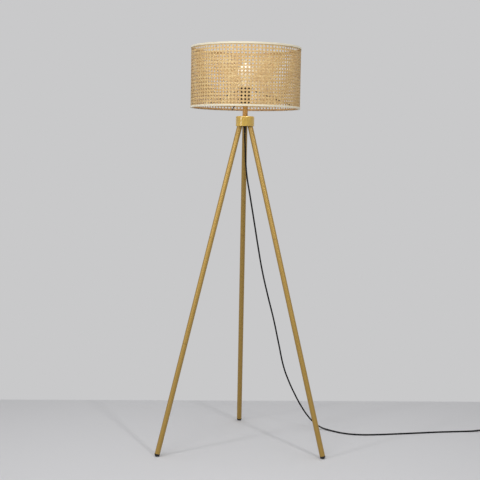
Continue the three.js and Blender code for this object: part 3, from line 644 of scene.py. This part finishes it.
def legPlace(number):
    upper, lower = middleOf(f"leg_joint_upper_{number}"), middleOf(f"leg_joint_lower_{number}")
    up = (upper - lower).normalized()
    start = upper + up * legSizes["firstJoint"]
    return Matrix.Translation(start) @ up.to_track_quat("Z", "Y").to_matrix().to_4x4(), up, start


def makeLeg(number):
    size = legSizes
    place, up, start = legPlace(number)
    reach, rim = size["footRadius"], size["footShoulder"]
    footDown = (start.z - reach + size["footFlat"]) / up.z
    legEnd = footDown - rim - seatGap
    first, second, half = size["firstJoint"], size["secondJoint"], size["jointHalf"]
    spans = [(-size["inset"], first - half), (first + half, second - half), (second + half, legEnd)]
    for part, (top, bottom) in zip(tubeNames, spans):
        outline = tubeOutline(size["bore"], size["radius"], -bottom, -top)
        addSpun(f"{part}Tube{number}", outline, brass, "brass", f"leg_{part}_{number}", place, size["steps"],
                size["edge"])
    plug, plugTop = size["footPlugRadius"], rim + size["footPlug"]
    outline = [(0, plugTop), (plug, plugTop), (plug, rim), (reach, rim),
               *arcPoints(0, 0, reach, 0, -90, steps=12)]
    foot = moved(spun(outline, size["steps"]), place @ Matrix.Translation((0, 0, -footDown)))
    bmesh.ops.bisect_plane(foot, geom=everythingIn(foot), plane_co=(0, 0, 0), plane_no=(0, 0, 1),
                           clear_inner=True)
    bmesh.ops.holes_fill(foot, edges=[e for e in foot.edges if e.is_boundary])
    addPiece(f"rubberTip{number}", foot, blackRubber, "black_rubber", f"rubber_foot_{number}")


# Strain relief under the hub: a collar, then a taper with rings
glandSizes = {"collar": 0.006, "collarHeight": 0.006, "neck": 0.0045, "tip": 0.0036, "rings": 5, "steps": 40}


def makeGland():
    size = glandSizes
    bottom, top = roundNode("cord_gland")[1:]
    neck = top - size["collarHeight"]
    outline = [(0, top), (size["collar"], top), (size["collar"], neck),
               *ribbedTaper(neck, bottom, size["neck"], size["tip"], size["rings"]), (0, bottom)]
    addSpun("strainRelief", outline, blackRubber, "black_rubber", "cord_gland", steps=size["steps"])


makeHub()
makePole()
for number in (1, 2, 3):
    makeLeg(number)
makeGland()
print("stage: stand")


# Lamp holder and its ring nut
holderSizes = {
    "bore": 0.0053,
    "footRadius": 0.011,
    "footHeight": 0.0035,
    "shoulder": 0.010,
    "baseWall": 0.0024,
    "baseFloor": 0.003,
    "shellWall": 0.003,
    "shellRadius": 0.01975,
    "flangeTop": 0.031,
    "flange": 0.0025,
    "flutes": 36,
    "fluteDepth": 0.0006,
    "edge": 0.0004,
}


# Every other point of the outside drawn in, for a grip
def fluted(bm, radius, depth, count):
    for vert in bm.verts:
        flat = Vector((vert.co.x, vert.co.y, 0))
        if flat.length < radius - weldDistance:
            continue
        step = round(math.atan2(flat.y, flat.x) / fullTurn * count * 2)
        if step % 2:
            vert.co -= flat.normalized() * depth
    return bm


def makeHolder():
    size = holderSizes
    radius, bottom, top = roundNode("holder_base")
    bore, foot, wall, shoulder = size["bore"], size["footRadius"], size["baseWall"], bottom + size["shoulder"]
    inside = bottom + size["baseFloor"]
    outline = [(bore, bottom), (foot, bottom), (foot, bottom + size["footHeight"]), (radius, shoulder),
               (radius, top), (radius - wall, top), (radius - wall, shoulder + size["baseFloor"]),
               (foot - wall, inside + size["footHeight"]), (foot - wall, inside), (bore, inside),
               (bore, bottom)]
    addSpun("holderCup", outline, blackPlastic, "black_plastic", "holder_base", soft=size["edge"])

    flange, bottom, top = roundNode("holder_shell")
    radius, inner = size["shellRadius"], size["shellRadius"] - size["shellWall"]
    above = bottom + size["flangeTop"]
    below = above - size["flange"]
    outline = [(inner, bottom), (radius, bottom), (radius, below), (flange, below), (flange, above),
               (radius, above), (radius, top), (inner, top), (inner, bottom)]
    addSpun("holderShell", outline, blackPlastic, "black_plastic", "holder_shell", soft=size["edge"])

    radius, bottom, top = roundNode("shade_ring")
    ring = spun(tubeOutline(size["shellRadius"] + seatGap, radius, bottom, top), 2 * size["flutes"])
    ring = moved(fluted(ring, radius, size["fluteDepth"], size["flutes"]), onAxis)
    addPiece("ringNut", ring, blackPlastic, "black_plastic", "shade_ring", sharp=50)


# Bulb and its screw cap
bulbSizes = {"neckRadius": 0.0135, "widestShare": 0.42, "neckShare": 0.16, "flankPoints": 14,
             "crownPoints": 12, "threads": 7, "threadDepth": 0.0008, "nubRadius": 0.005, "nubHeight": 0.0025,
             "taper": 0.004, "capSteps": 48}


def makeBulb():
    size = bulbSizes
    radius, bottom, top = roundNode("bulb_glass")
    neck, tall = size["neckRadius"], top - bottom
    widest, neckTop = top - tall * size["widestShare"], bottom + tall * size["neckShare"]
    halfway = (neckTop + widest) / 2
    knots = [Vector((neck, 0, neckTop)), Vector((neck, 0, halfway)), Vector((radius, 0, halfway)),
             Vector((radius, 0, widest))]
    flank = [(p.x, p.z) for p in interpolate_bezier(*knots, size["flankPoints"])]
    angles = [math.pi / 2 * (i + 1) / size["crownPoints"] for i in range(size["crownPoints"] - 1)]
    crown = [(radius * math.cos(a), widest + (top - widest) * math.sin(a)) for a in angles]
    outline = [(0, bottom), (neck, bottom), *flank, *crown, (0, top)]
    addSpun("bulbGlobe", outline, opalGlass, "bulb_glass", "bulb_glass", sharp=60)

    radius, bottom, top = roundNode("bulb_cap")
    nub, root = size["nubRadius"], radius - size["threadDepth"]
    start = bottom + size["nubHeight"] + size["taper"]
    outline = [(0, bottom), (nub, bottom), (nub, bottom + size["nubHeight"]), (root, start)]
    step = (top - start) / (size["threads"] + 1)
    for i in range(size["threads"]):
        outline += [(radius, start + step * (i + 0.5)), (root, start + step * (i + 1))]
    outline += [(root, top), (0, top)]
    addSpun("screwCap", outline, nickel, "steel", "bulb_cap", steps=size["capSteps"], sharp=60)


makeHolder()
makeBulb()
print("stage: holder and bulb")


# Shade frame: centre ring, three spokes, and the wire rings that hold the cane round
wireSizes = {
    "radius": 0.002,
    "spokes": 3,
    "firstSpoke": 104.3,
    "ringBore": 0.02005,
    "ringRadius": 0.0285,
    "ringThickness": 0.002,
    "ringEdge": 0.0004,
    "weld": 0.0015,
    "steps": 160,
    "sides": 12,
}


def makeFrame():
    size = wireSizes
    radius, bottom, top = roundNode("bottom_wire_ring")
    ringRadius = radius - size["radius"]
    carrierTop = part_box("shade_ring")[0].z - seatGap  # the ring nut sits on it
    carrierBottom = carrierTop - size["ringThickness"]
    outline = tubeOutline(size["ringBore"], size["ringRadius"], carrierBottom, carrierTop)
    parts = [moved(spun(outline, soft=size["ringEdge"]), onAxis)]
    middle = Vector((0, 0, carrierTop - size["ringThickness"] / 2))
    for i in range(size["spokes"]):
        way = heading(size["firstSpoke"] + 360 * i / size["spokes"])
        start = lampAxis + middle + way * (size["ringRadius"] - size["weld"])
        end = lampAxis + Vector((0, 0, (bottom + top) / 2)) + way * ringRadius
        end -= (end - start).normalized() * (size["radius"] + seatGap)
        parts.append(bar(start, end, size["radius"]))
    addPiece("spokeFrame", gathered(*parts), darkWire, "dark_wire", "shade_carrier")
    for name, node in (("lowerWire", "bottom_wire_ring"), ("upperWire", "top_wire_ring")):
        outline = arcPoints(ringRadius, middleOf(node).z, size["radius"], 0, 360, size["sides"])
        addSpun(name, outline, brownWire, "brown_wire", node, steps=size["steps"])


# Cane webbing: pairs of strands up and round, and slanted ones that cross over one pair and under the next
weave = {
    "columns": 98,
    "lowestHole": 1.2652,
    "rowPitch": 0.01225,
    "rows": 18,
    "pairSpacing": 0.0027,
    "strandWidth": 0.0024,
    "slantWidth": 0.0025,
    "thickness": 0.00045,
    "pairRise": 0.00025,
    "slantRise": 0.0005,
    "frontShift": 0.28,  # share of a cell by which the first upright stands right of the front
    "wall": 0.002,
    "sides": 5,
    "clearTurn": 0.19,  # share of a cell over which a slanted strand stays above the pair
    "toneSeed": 7,
}
weaveEdge, weaveBottom, weaveTop = roundNode("cane_drum")
weaveRadius = weaveEdge - weave["wall"] / 2
cellTurn = fullTurn / weave["columns"]
firstLine = -math.pi / 2 + cellTurn * weave["frontShift"]
firstRow = weave["lowestHole"] - weave["rowPitch"] / 2


def strandPlace(angle, height, rise, turn):
    out = Matrix.Translation((weaveRadius + rise, 0, 0)) @ Matrix.Rotation(-math.pi / 2, 4, "Z")
    around = Matrix.Translation((0, 0, height)) @ Matrix.Rotation(angle, 4, "Z")
    return around @ out @ Matrix.Rotation(turn, 4, "Y")


# One flat strand through its places; each point keeps how far along and across the strand it lies
def layStrand(bm, places, width, capped=True):
    grain = bm.verts.layers.float_vector.get("grain") or bm.verts.layers.float_vector.new("grain")
    section = Matrix.Diagonal((width, weave["thickness"], 1, 1)) @ Matrix.Rotation(math.pi, 4, "Z")
    verts = bmesh.ops.create_circle(bm, cap_ends=False, segments=weave["sides"], radius=0.5,
                                    matrix=places[0] @ section)["verts"]
    edges = list({e for v in verts for e in v.link_edges})
    ends = [edges]
    along = 0.0
    for vert in verts:
        vert[grain] = ((places[0].inverted() @ vert.co).x, 0.0, 0.0)
    for before, after in zip(places, places[1:]):
        made = bmesh.ops.extrude_edge_only(bm, edges=edges)["geom"]
        verts = vertsIn(made)
        edges = [item for item in made if isinstance(item, bmesh.types.BMEdge) and item.is_boundary]
        bmesh.ops.transform(bm, matrix=after @ before.inverted(), verts=verts)
        along += (after.translation - before.translation).length
        back = after.inverted()
        for vert in verts:
            vert[grain] = ((back @ vert.co).x, along, 0.0)
    ends.append(edges)
    if capped:
        for loop in ends:
            bmesh.ops.edgeloop_fill(bm, edges=loop)


def repeatedRound(bm, copies):
    bmesh.ops.spin(bm, geom=everythingIn(bm), cent=(0, 0, 0), axis=(0, 0, 1), use_duplicate=True,
                   angle=fullTurn * (copies - 1) / copies, steps=copies - 1)


# Gives each strand of all the pairs its tone, then adds them as one piece
def addStrands(name, bm, pairs, draw):
    pointsEach = len(bm.verts) // (2 * pairs)
    tone = bm.verts.layers.float.new("tone")
    tones = [draw.random() for strand in range(2 * pairs + 1)]  # one to spare
    bm.verts.index_update()
    for vert in bm.verts:
        vert[tone] = tones[vert.index // pointsEach]
    bmesh.ops.recalc_face_normals(bm, faces=bm.faces)
    addPiece(name, moved(bm, onAxis), cane, "cane", "cane_drum", sharp=80)


# Places and rises of a strand that dips and lifts where it crosses each pair
def pairWave(first, step, count, spacing, rise):
    wave = [(-spacing, 0), (-spacing / 2, -rise), (0, 0), (spacing / 2, rise), (spacing, 0)]
    return [(first + step * i + shift, lift) for i in range(count) for shift, lift in wave]


def edgeToEdge(stops):
    return [(weaveBottom, 0), *[stop for stop in stops if weaveBottom < stop[0] < weaveTop], (weaveTop, 0)]


def makeUprights(draw):
    size = weave
    bm = bmesh.new()
    for side in (-1, 1):
        angle = firstLine + side * size["pairSpacing"] / 2 / weaveRadius
        stops = pairWave(firstRow, size["rowPitch"], size["rows"], size["pairSpacing"],
                         side * size["pairRise"])
        places = [strandPlace(angle, height, rise, 0) for height, rise in edgeToEdge(stops)]
        layStrand(bm, places, size["strandWidth"])
    repeatedRound(bm, size["columns"])
    addStrands("caneUprights", bm, size["columns"], draw)


def makeRounds(draw):
    size = weave
    bm = bmesh.new()
    for side in (-1, 1):
        stops = pairWave(firstLine, cellTurn, size["columns"], size["pairSpacing"] / weaveRadius,
                         -side * size["pairRise"])
        stops.append((stops[0][0] + fullTurn, stops[0][1]))
        height = firstRow + side * size["pairSpacing"] / 2
        places = [strandPlace(angle, height, rise, -math.pi / 2) for angle, rise in stops]
        layStrand(bm, places, size["strandWidth"], capped=False)
    bmesh.ops.remove_doubles(bm, verts=bm.verts, dist=weldDistance)
    firstPair = everythingIn(bm)
    for row in range(1, size["rows"]):
        copy = bmesh.ops.duplicate(bm, geom=firstPair)["geom"]
        bmesh.ops.translate(bm, verts=vertsIn(copy), vec=(0, 0, size["rowPitch"] * row))
    addStrands("caneRounds", bm, size["rows"], draw)


def makeSlants(draw):
    size = weave
    bm = bmesh.new()
    lean = math.atan2(weaveRadius * cellTurn, size["rowPitch"])
    clear = size["clearTurn"]
    phases = [(-clear, 1), (clear, 1), (0.5 - clear, -1), (0.5 + clear, -1)]
    for way in (1, -1):
        stops = [(firstRow + size["rowPitch"] * (cell + phase + 0.5), way * wave * size["slantRise"])
                 for cell in range(-1, size["rows"] + 1) for phase, wave in phases]
        places = []
        for height, rise in edgeToEdge(stops):
            cells = (height - firstRow) / size["rowPitch"] - 0.5
            places.append(strandPlace(firstLine + way * cellTurn * cells, height, rise, -way * lean))
        layStrand(bm, places, size["slantWidth"])
    repeatedRound(bm, size["columns"])
    addStrands("caneSlants", bm, size["columns"], draw)


# Edge tape, folded over the cane's edge and the wire
trimSizes = {"thickness": 0.0009, "height": 0.0066, "lip": 0.194, "edge": 0.0004, "steps": 160}


def makeTrim(name, node, inward):
    size = trimSizes
    outer, bottom, top = roundNode(node)
    edge, lip, face = bottom if inward > 0 else top, size["lip"], outer - size["thickness"]
    under, end = edge + inward * size["thickness"], edge + inward * size["height"]
    outline = [(lip, edge), (outer, edge), (outer, end), (face, end), (face, under), (lip, under),
               (lip, edge)]
    addSpun(name, outline, tape, "edge_tape", node, steps=size["steps"], soft=size["edge"], sharp=60)


draws = random.Random(weave["toneSeed"])
makeFrame()
makeUprights(draws)
makeRounds(draws)
makeSlants(draws)
makeTrim("lowerTape", "bottom_trim", 1)
makeTrim("upperTape", "top_trim", -1)
print("stage: shade")


# Foot switch, built along X and turned into the cord's line
switchSizes = {
    "width": 0.038,
    "corner": 0.016,
    "cornerSteps": 10,
    "wall": 0.002,
    "round": 0.003,
    "roundSteps": 5,
    "holeSteps": 44,
    "buttonRadius": 0.012,
    "buttonFlange": 0.014,
    "buttonRim": 0.0012,
    "buttonSteps": 56,
    "dishShare": 0.72,
    "dishFloorShare": 0.62,
    "flangeHeight": 0.0015,
    "stemRadius": 0.004,
    "reliefWide": 0.005,
    "reliefTip": 0.0036,
    "reliefRings": 5,
    "reliefSteps": 36,
}
switchPlace = turnedAt(switchCentre, cordSizes["switchHeading"])


# A block with round corners, without the face at the open height
def switchCase(bottom, top, openAt):
    size = switchSizes
    bm = bmesh.new()
    scale = Matrix.Diagonal((2 * cordSizes["switchHalf"], size["width"], top - bottom, 1))
    bmesh.ops.create_cube(bm, size=1, matrix=Matrix.Translation((0, 0, (top + bottom) / 2)) @ scale)
    uprights = [e for e in bm.edges if abs(e.verts[0].co.z - e.verts[1].co.z) > weldDistance]
    bevelled(bm, uprights, size["corner"], size["cornerSteps"])
    drop = [face for face in bm.faces
            if len(face.verts) > 4 and abs(face.calc_center_median().z - openAt) < weldDistance]
    bmesh.ops.delete(bm, geom=drop, context="FACES_ONLY")
    return bm


def topFace(bm):
    return max(bm.faces, key=lambda f: f.calc_center_median().z if len(f.verts) > 4 else -1)


def addSwitchCase(name, bm, node):
    bmesh.ops.recalc_face_normals(bm, faces=bm.faces)
    bmesh.ops.solidify(bm, geom=bm.faces[:], thickness=switchSizes["wall"])
    addPiece(name, moved(bm, switchPlace), blackPlastic, "black_plastic", node)


def makeSwitch():
    size = switchSizes
    radius, rim = size["buttonRadius"], size["buttonRim"]
    bottom, top = roundNode("switch_cover")[1:]
    cover = switchCase(bottom, top, openAt=bottom)
    bevelled(cover, topFace(cover).edges[:], size["round"], size["roundSteps"])
    roof = topFace(cover)
    outer = roof.edges[:]
    bmesh.ops.delete(cover, geom=[roof], context="FACES_ONLY")
    hole = bmesh.ops.create_circle(cover, cap_ends=False, segments=size["holeSteps"], radius=radius + seatGap,
                                   matrix=Matrix.Translation((0, 0, top)))["verts"]
    inner = list({e for v in hole for e in v.link_edges})
    bmesh.ops.bridge_loops(cover, edges=outer + inner)
    addSwitchCase("switchCover", cover, "switch_cover")

    flangeTop = top - size["wall"] - seatGap
    flangeBottom = flangeTop - size["flangeHeight"]
    bottom, top = roundNode("switch_base")[1:]
    addSwitchCase("switchBase", switchCase(bottom, top, openAt=top), "switch_base")

    bottom, top = roundNode("switch_button")[1:]
    stem, flange, dish = size["stemRadius"], size["buttonFlange"], top - rim / 2
    outline = [(0, bottom), (stem, bottom), (stem, flangeBottom), (flange, flangeBottom), (flange, flangeTop),
               (radius, flangeTop), *arcPoints(radius - rim, top - rim, rim, 0, 90, steps=5),
               (radius * size["dishShare"], top), (radius * size["dishFloorShare"], dish), (0, dish)]
    addSpun("footButton", outline, blackPlastic, "black_plastic", "switch_button", switchPlace,
            size["buttonSteps"], body="button")

    length = cordSizes["reliefLength"]
    taper = ribbedTaper(0, length, size["reliefWide"], size["reliefTip"], size["reliefRings"])
    for name, node, side in (("reliefIn", "switch_relief_in", -1), ("reliefOut", "switch_relief_out", 1)):
        seat = (side * (cordSizes["switchHalf"] + seatGap), 0, cordSizes["reliefHeight"])
        place = switchPlace @ Matrix.Translation(seat) @ Matrix.Rotation(side * math.pi / 2, 4, "Y")
        addSpun(name, [(0, 0), *taper, (0, length)], blackRubber, "black_rubber", node, place,
                size["reliefSteps"])


# Plug, built along X from the cord to the pins
plugSizes = {
    "relief": 0.026,
    "reliefWide": 0.00525,
    "reliefTip": 0.0036,
    "reliefRings": 6,
    "reliefSteps": 36,
    "back": 0.0075,
    "wide": 0.0175,
    "shoulder": 0.014,
    "length": 0.030,
    "thickness": 0.0137,
    "edge": 0.0022,
    "edgeSteps": 4,
    "pinRadius": 0.002,
    "pinLength": 0.019,
    "pinSpacing": 0.0186,
    "pinTip": 0.0012,
    "pinShoulderShare": 0.9,
    "pinEndShare": 0.6,
    "pinSteps": 32,
}


def makePlug():
    size = plugSizes
    place = turnedAt((plugStart.x, plugStart.y, 0), cordSizes["plugHeading"])
    axis = Matrix.Translation((0, 0, cordSizes["plugAxis"])) @ Matrix.Rotation(math.pi / 2, 4, "Y")
    back, shoulder, front = size["relief"], size["relief"] + size["shoulder"], size["relief"] + size["length"]
    body = bmesh.new()
    corners = [(back, -size["back"]), (shoulder, -size["wide"]), (front, -size["wide"]),
               (front, size["wide"]), (shoulder, size["wide"]), (back, size["back"])]
    face = body.faces.new([body.verts.new((x, y, 0)) for x, y in corners])
    lifted = bmesh.ops.extrude_face_region(body, geom=[face])["geom"]
    bmesh.ops.translate(body, vec=(0, 0, size["thickness"]), verts=vertsIn(lifted))
    bmesh.ops.recalc_face_normals(body, faces=body.faces)
    softened(body, size["edge"], size["edgeSteps"])
    outline = [(0, 0), *ribbedTaper(0, back, size["reliefTip"], size["reliefWide"], size["reliefRings"]),
               (size["reliefWide"], back + size["edge"]), (0, back + size["edge"])]
    sleeve = moved(spun(outline, size["reliefSteps"]), axis)
    plug = moved(gathered(body, sleeve), place)
    addPiece("plugBody", plug, blackPlastic, "black_plastic", "plug_body")
    long, tip, radius = size["pinLength"], size["pinTip"], size["pinRadius"]
    outline = [(0, 0), (radius, 0), (radius, long - tip), (radius * size["pinShoulderShare"], long - tip / 2),
               (radius * size["pinEndShare"], long), (0, long)]
    for number, side in ((1, -1), (2, 1)):
        shift = Matrix.Translation((front + seatGap, side * size["pinSpacing"] / 2, 0))
        addSpun(f"plugPin{number}", outline, nickel, "steel", f"plug_pin_{number}", place @ shift @ axis,
                size["pinSteps"])


makeSwitch()
makePlug()
print("stage: switch and plug")

# Nodes whose solid is kept, with their finish
keptNodes = {
    steel: ["leg_plate", "leg_stud_1", "leg_stud_2", "leg_stud_3", "threaded_rod", "rod_washer", "rod_nut"],
    brass: [f"leg_joint_{part}_{i}" for part in ("upper", "lower") for i in (1, 2, 3)]
    + ["screw_shell", "socket_contact"],
    ceramic: ["holder_core", "switch_block"],
    cordSkin: ["inner_lead"],
    blackPlastic: ["coil_tie"],
}
for finish, names in keptNodes.items():
    for name in names:
        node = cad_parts[name]
        node.data.materials.clear()
        node.data.materials.append(finish.material)
print("stage: kept nodes")

# Floor, backdrop and world
stageSizes = {
    "radius": 60.0,
    "sides": 96,
    "rough": 0.75,
    "gloss": 0.2,
    "sweep": 0.587,  # where the floor turns up into the backdrop, behind the lamp
    "sweepTurn": 0.042,
    "sweepSoftness": 0.02,
    "fadeStart": 1.6,  # all round, the floor fades into the backdrop between these distances
    "fadeEnd": 3.4,
    # from here back to the sweep the floor's colour darkens, a painted shade towards the backdrop
    "front": -1.3,
    "backdrop": colour(201, 201, 202),
    "frontFloor": colour(209, 209, 211),
    "shadedBackFloor": colour(200, 200, 202),
    "ambient": 0.5,
}


def makeFloor():
    size = stageSizes
    bm = bmesh.new()
    bmesh.ops.create_circle(bm, cap_ends=True, segments=size["sides"], radius=size["radius"])
    mesh = bpy.data.meshes.new("studioFloor")
    bm.to_mesh(mesh)
    bm.free()
    newObject("studioFloor", mesh)
    finish = Finish("studioFloor", {"Roughness": size["rough"], "Specular IOR Level": size["gloss"]})
    where = finish.place()
    sideways = finish.node("ShaderNodeSeparateXYZ", [where])
    depth = sideways.output("Y") - sideways * size["sweepTurn"]
    # painted shade: the floor's colour darkens from the front to the sweep
    shade = finish.ramp(depth, size["front"], size["sweep"])
    finish.feed("Base Color", finish.between(shade, size["frontFloor"], size["shadedBackFloor"]))
    far = finish.node("ShaderNodeVectorMath", {0: where}, output="Value", operation="LENGTH")
    fade = finish.ramp(far, size["fadeStart"], size["fadeEnd"], interpolation_type="SMOOTHSTEP")
    turn = finish.ramp(depth, size["sweep"], size["sweep"] + size["sweepSoftness"],
                       interpolation_type="SMOOTHSTEP")
    glow = finish.node("ShaderNodeEmission", {"Color": size["backdrop"], "Strength": 1.0})
    mixed = finish.node("ShaderNodeMixShader", {0: fade.reckon("MAXIMUM", fade, turn), 2: glow})
    finish.tree.links.new(finish.shader.outputs[0], mixed.socket.node.inputs[1])
    finish.tree.links.new(mixed.socket, finish.tree.nodes["Material Output"].inputs["Surface"])
    mesh.materials.append(finish.material)


# The world lights by its ambient share, and is the full backdrop to the eye, in gloss and through glass
def makeWorld():
    ambient = stageSizes["ambient"]
    world = bpy.data.worlds.new("studio")
    bpy.context.scene.world = world
    world.use_nodes = True
    sky = Nodes(world.node_tree)
    rays = sky.node("ShaderNodeLightPath", output="Is Camera Ray")
    seen = rays + rays.output("Is Glossy Ray") + rays.output("Is Transmission Ray")
    shader = sky.tree.nodes["Background"]
    shader.inputs["Color"].default_value = stageSizes["backdrop"]
    sky.join(seen * (1 - ambient) + ambient, shader.inputs["Strength"])


# Lamps, placed from the lamp's axis; the glint lamp is the narrow one that the hub mirrors
lamps = {
    "frontLamp": {"place": (-0.6, -1.9, 2.5), "aim": (0, 0, 1.4), "size": (1.2, 1.2), "power": 6.1,
                  "spread": 90},
    "leftLamp": {"place": (-2.45, -1.98, 2.2), "aim": (0, 0, 0.9), "size": (0.25, 0.25), "power": 15.5},
    "glintLamp": {"place": (-2.45, -1.98, 1.32), "aim": (0, 0, 1.2), "size": (0.35, 0.9), "power": 6.5},
    "rightLamp": {"place": (1.5, -2.8, 2.4), "aim": (0, 0, 0.9), "size": (0.22, 0.22), "power": 25},
    "topLamp": {"place": (0, -0.3, 3.6), "aim": (0, 0, 0), "size": (2.5, 2.5), "power": 58},
}
bulbLamp = {"power": 0.58, "room": 0.001, "colour": colour(255, 216, 160)[:3]}


def makeLamps():
    for name, lamp in lamps.items():
        data = bpy.data.lights.new(name, "AREA")
        data.shape = "RECTANGLE"
        data.size, data.size_y = lamp["size"]
        data.spread = math.radians(lamp.get("spread", 180))
        data.energy = lamp["power"]
        light = newObject(name, data)
        light.location = lampAxis + Vector(lamp["place"])
        aim = lampAxis + Vector(lamp["aim"]) - light.location
        light.rotation_euler = aim.to_track_quat("-Z", "Y").to_euler()


# The bulb's own light, a ball that starts just outside its glass
def makeBulbLamp():
    radius, bottom, top = roundNode("bulb_glass")
    data = bpy.data.lights.new("bulbLamp", "POINT")
    data.shadow_soft_size = radius + bulbLamp["room"]
    data.energy = bulbLamp["power"]
    data.color = bulbLamp["colour"]
    light = newObject("bulbLamp", data)
    light.location = (lampAxis.x, lampAxis.y, top - radius)
    light.visible_camera = False


makeFloor()
makeWorld()
makeLamps()
makeBulbLamp()
bpy.context.scene.view_settings.view_transform = "Standard"
print("stage: floor, lamps and world")
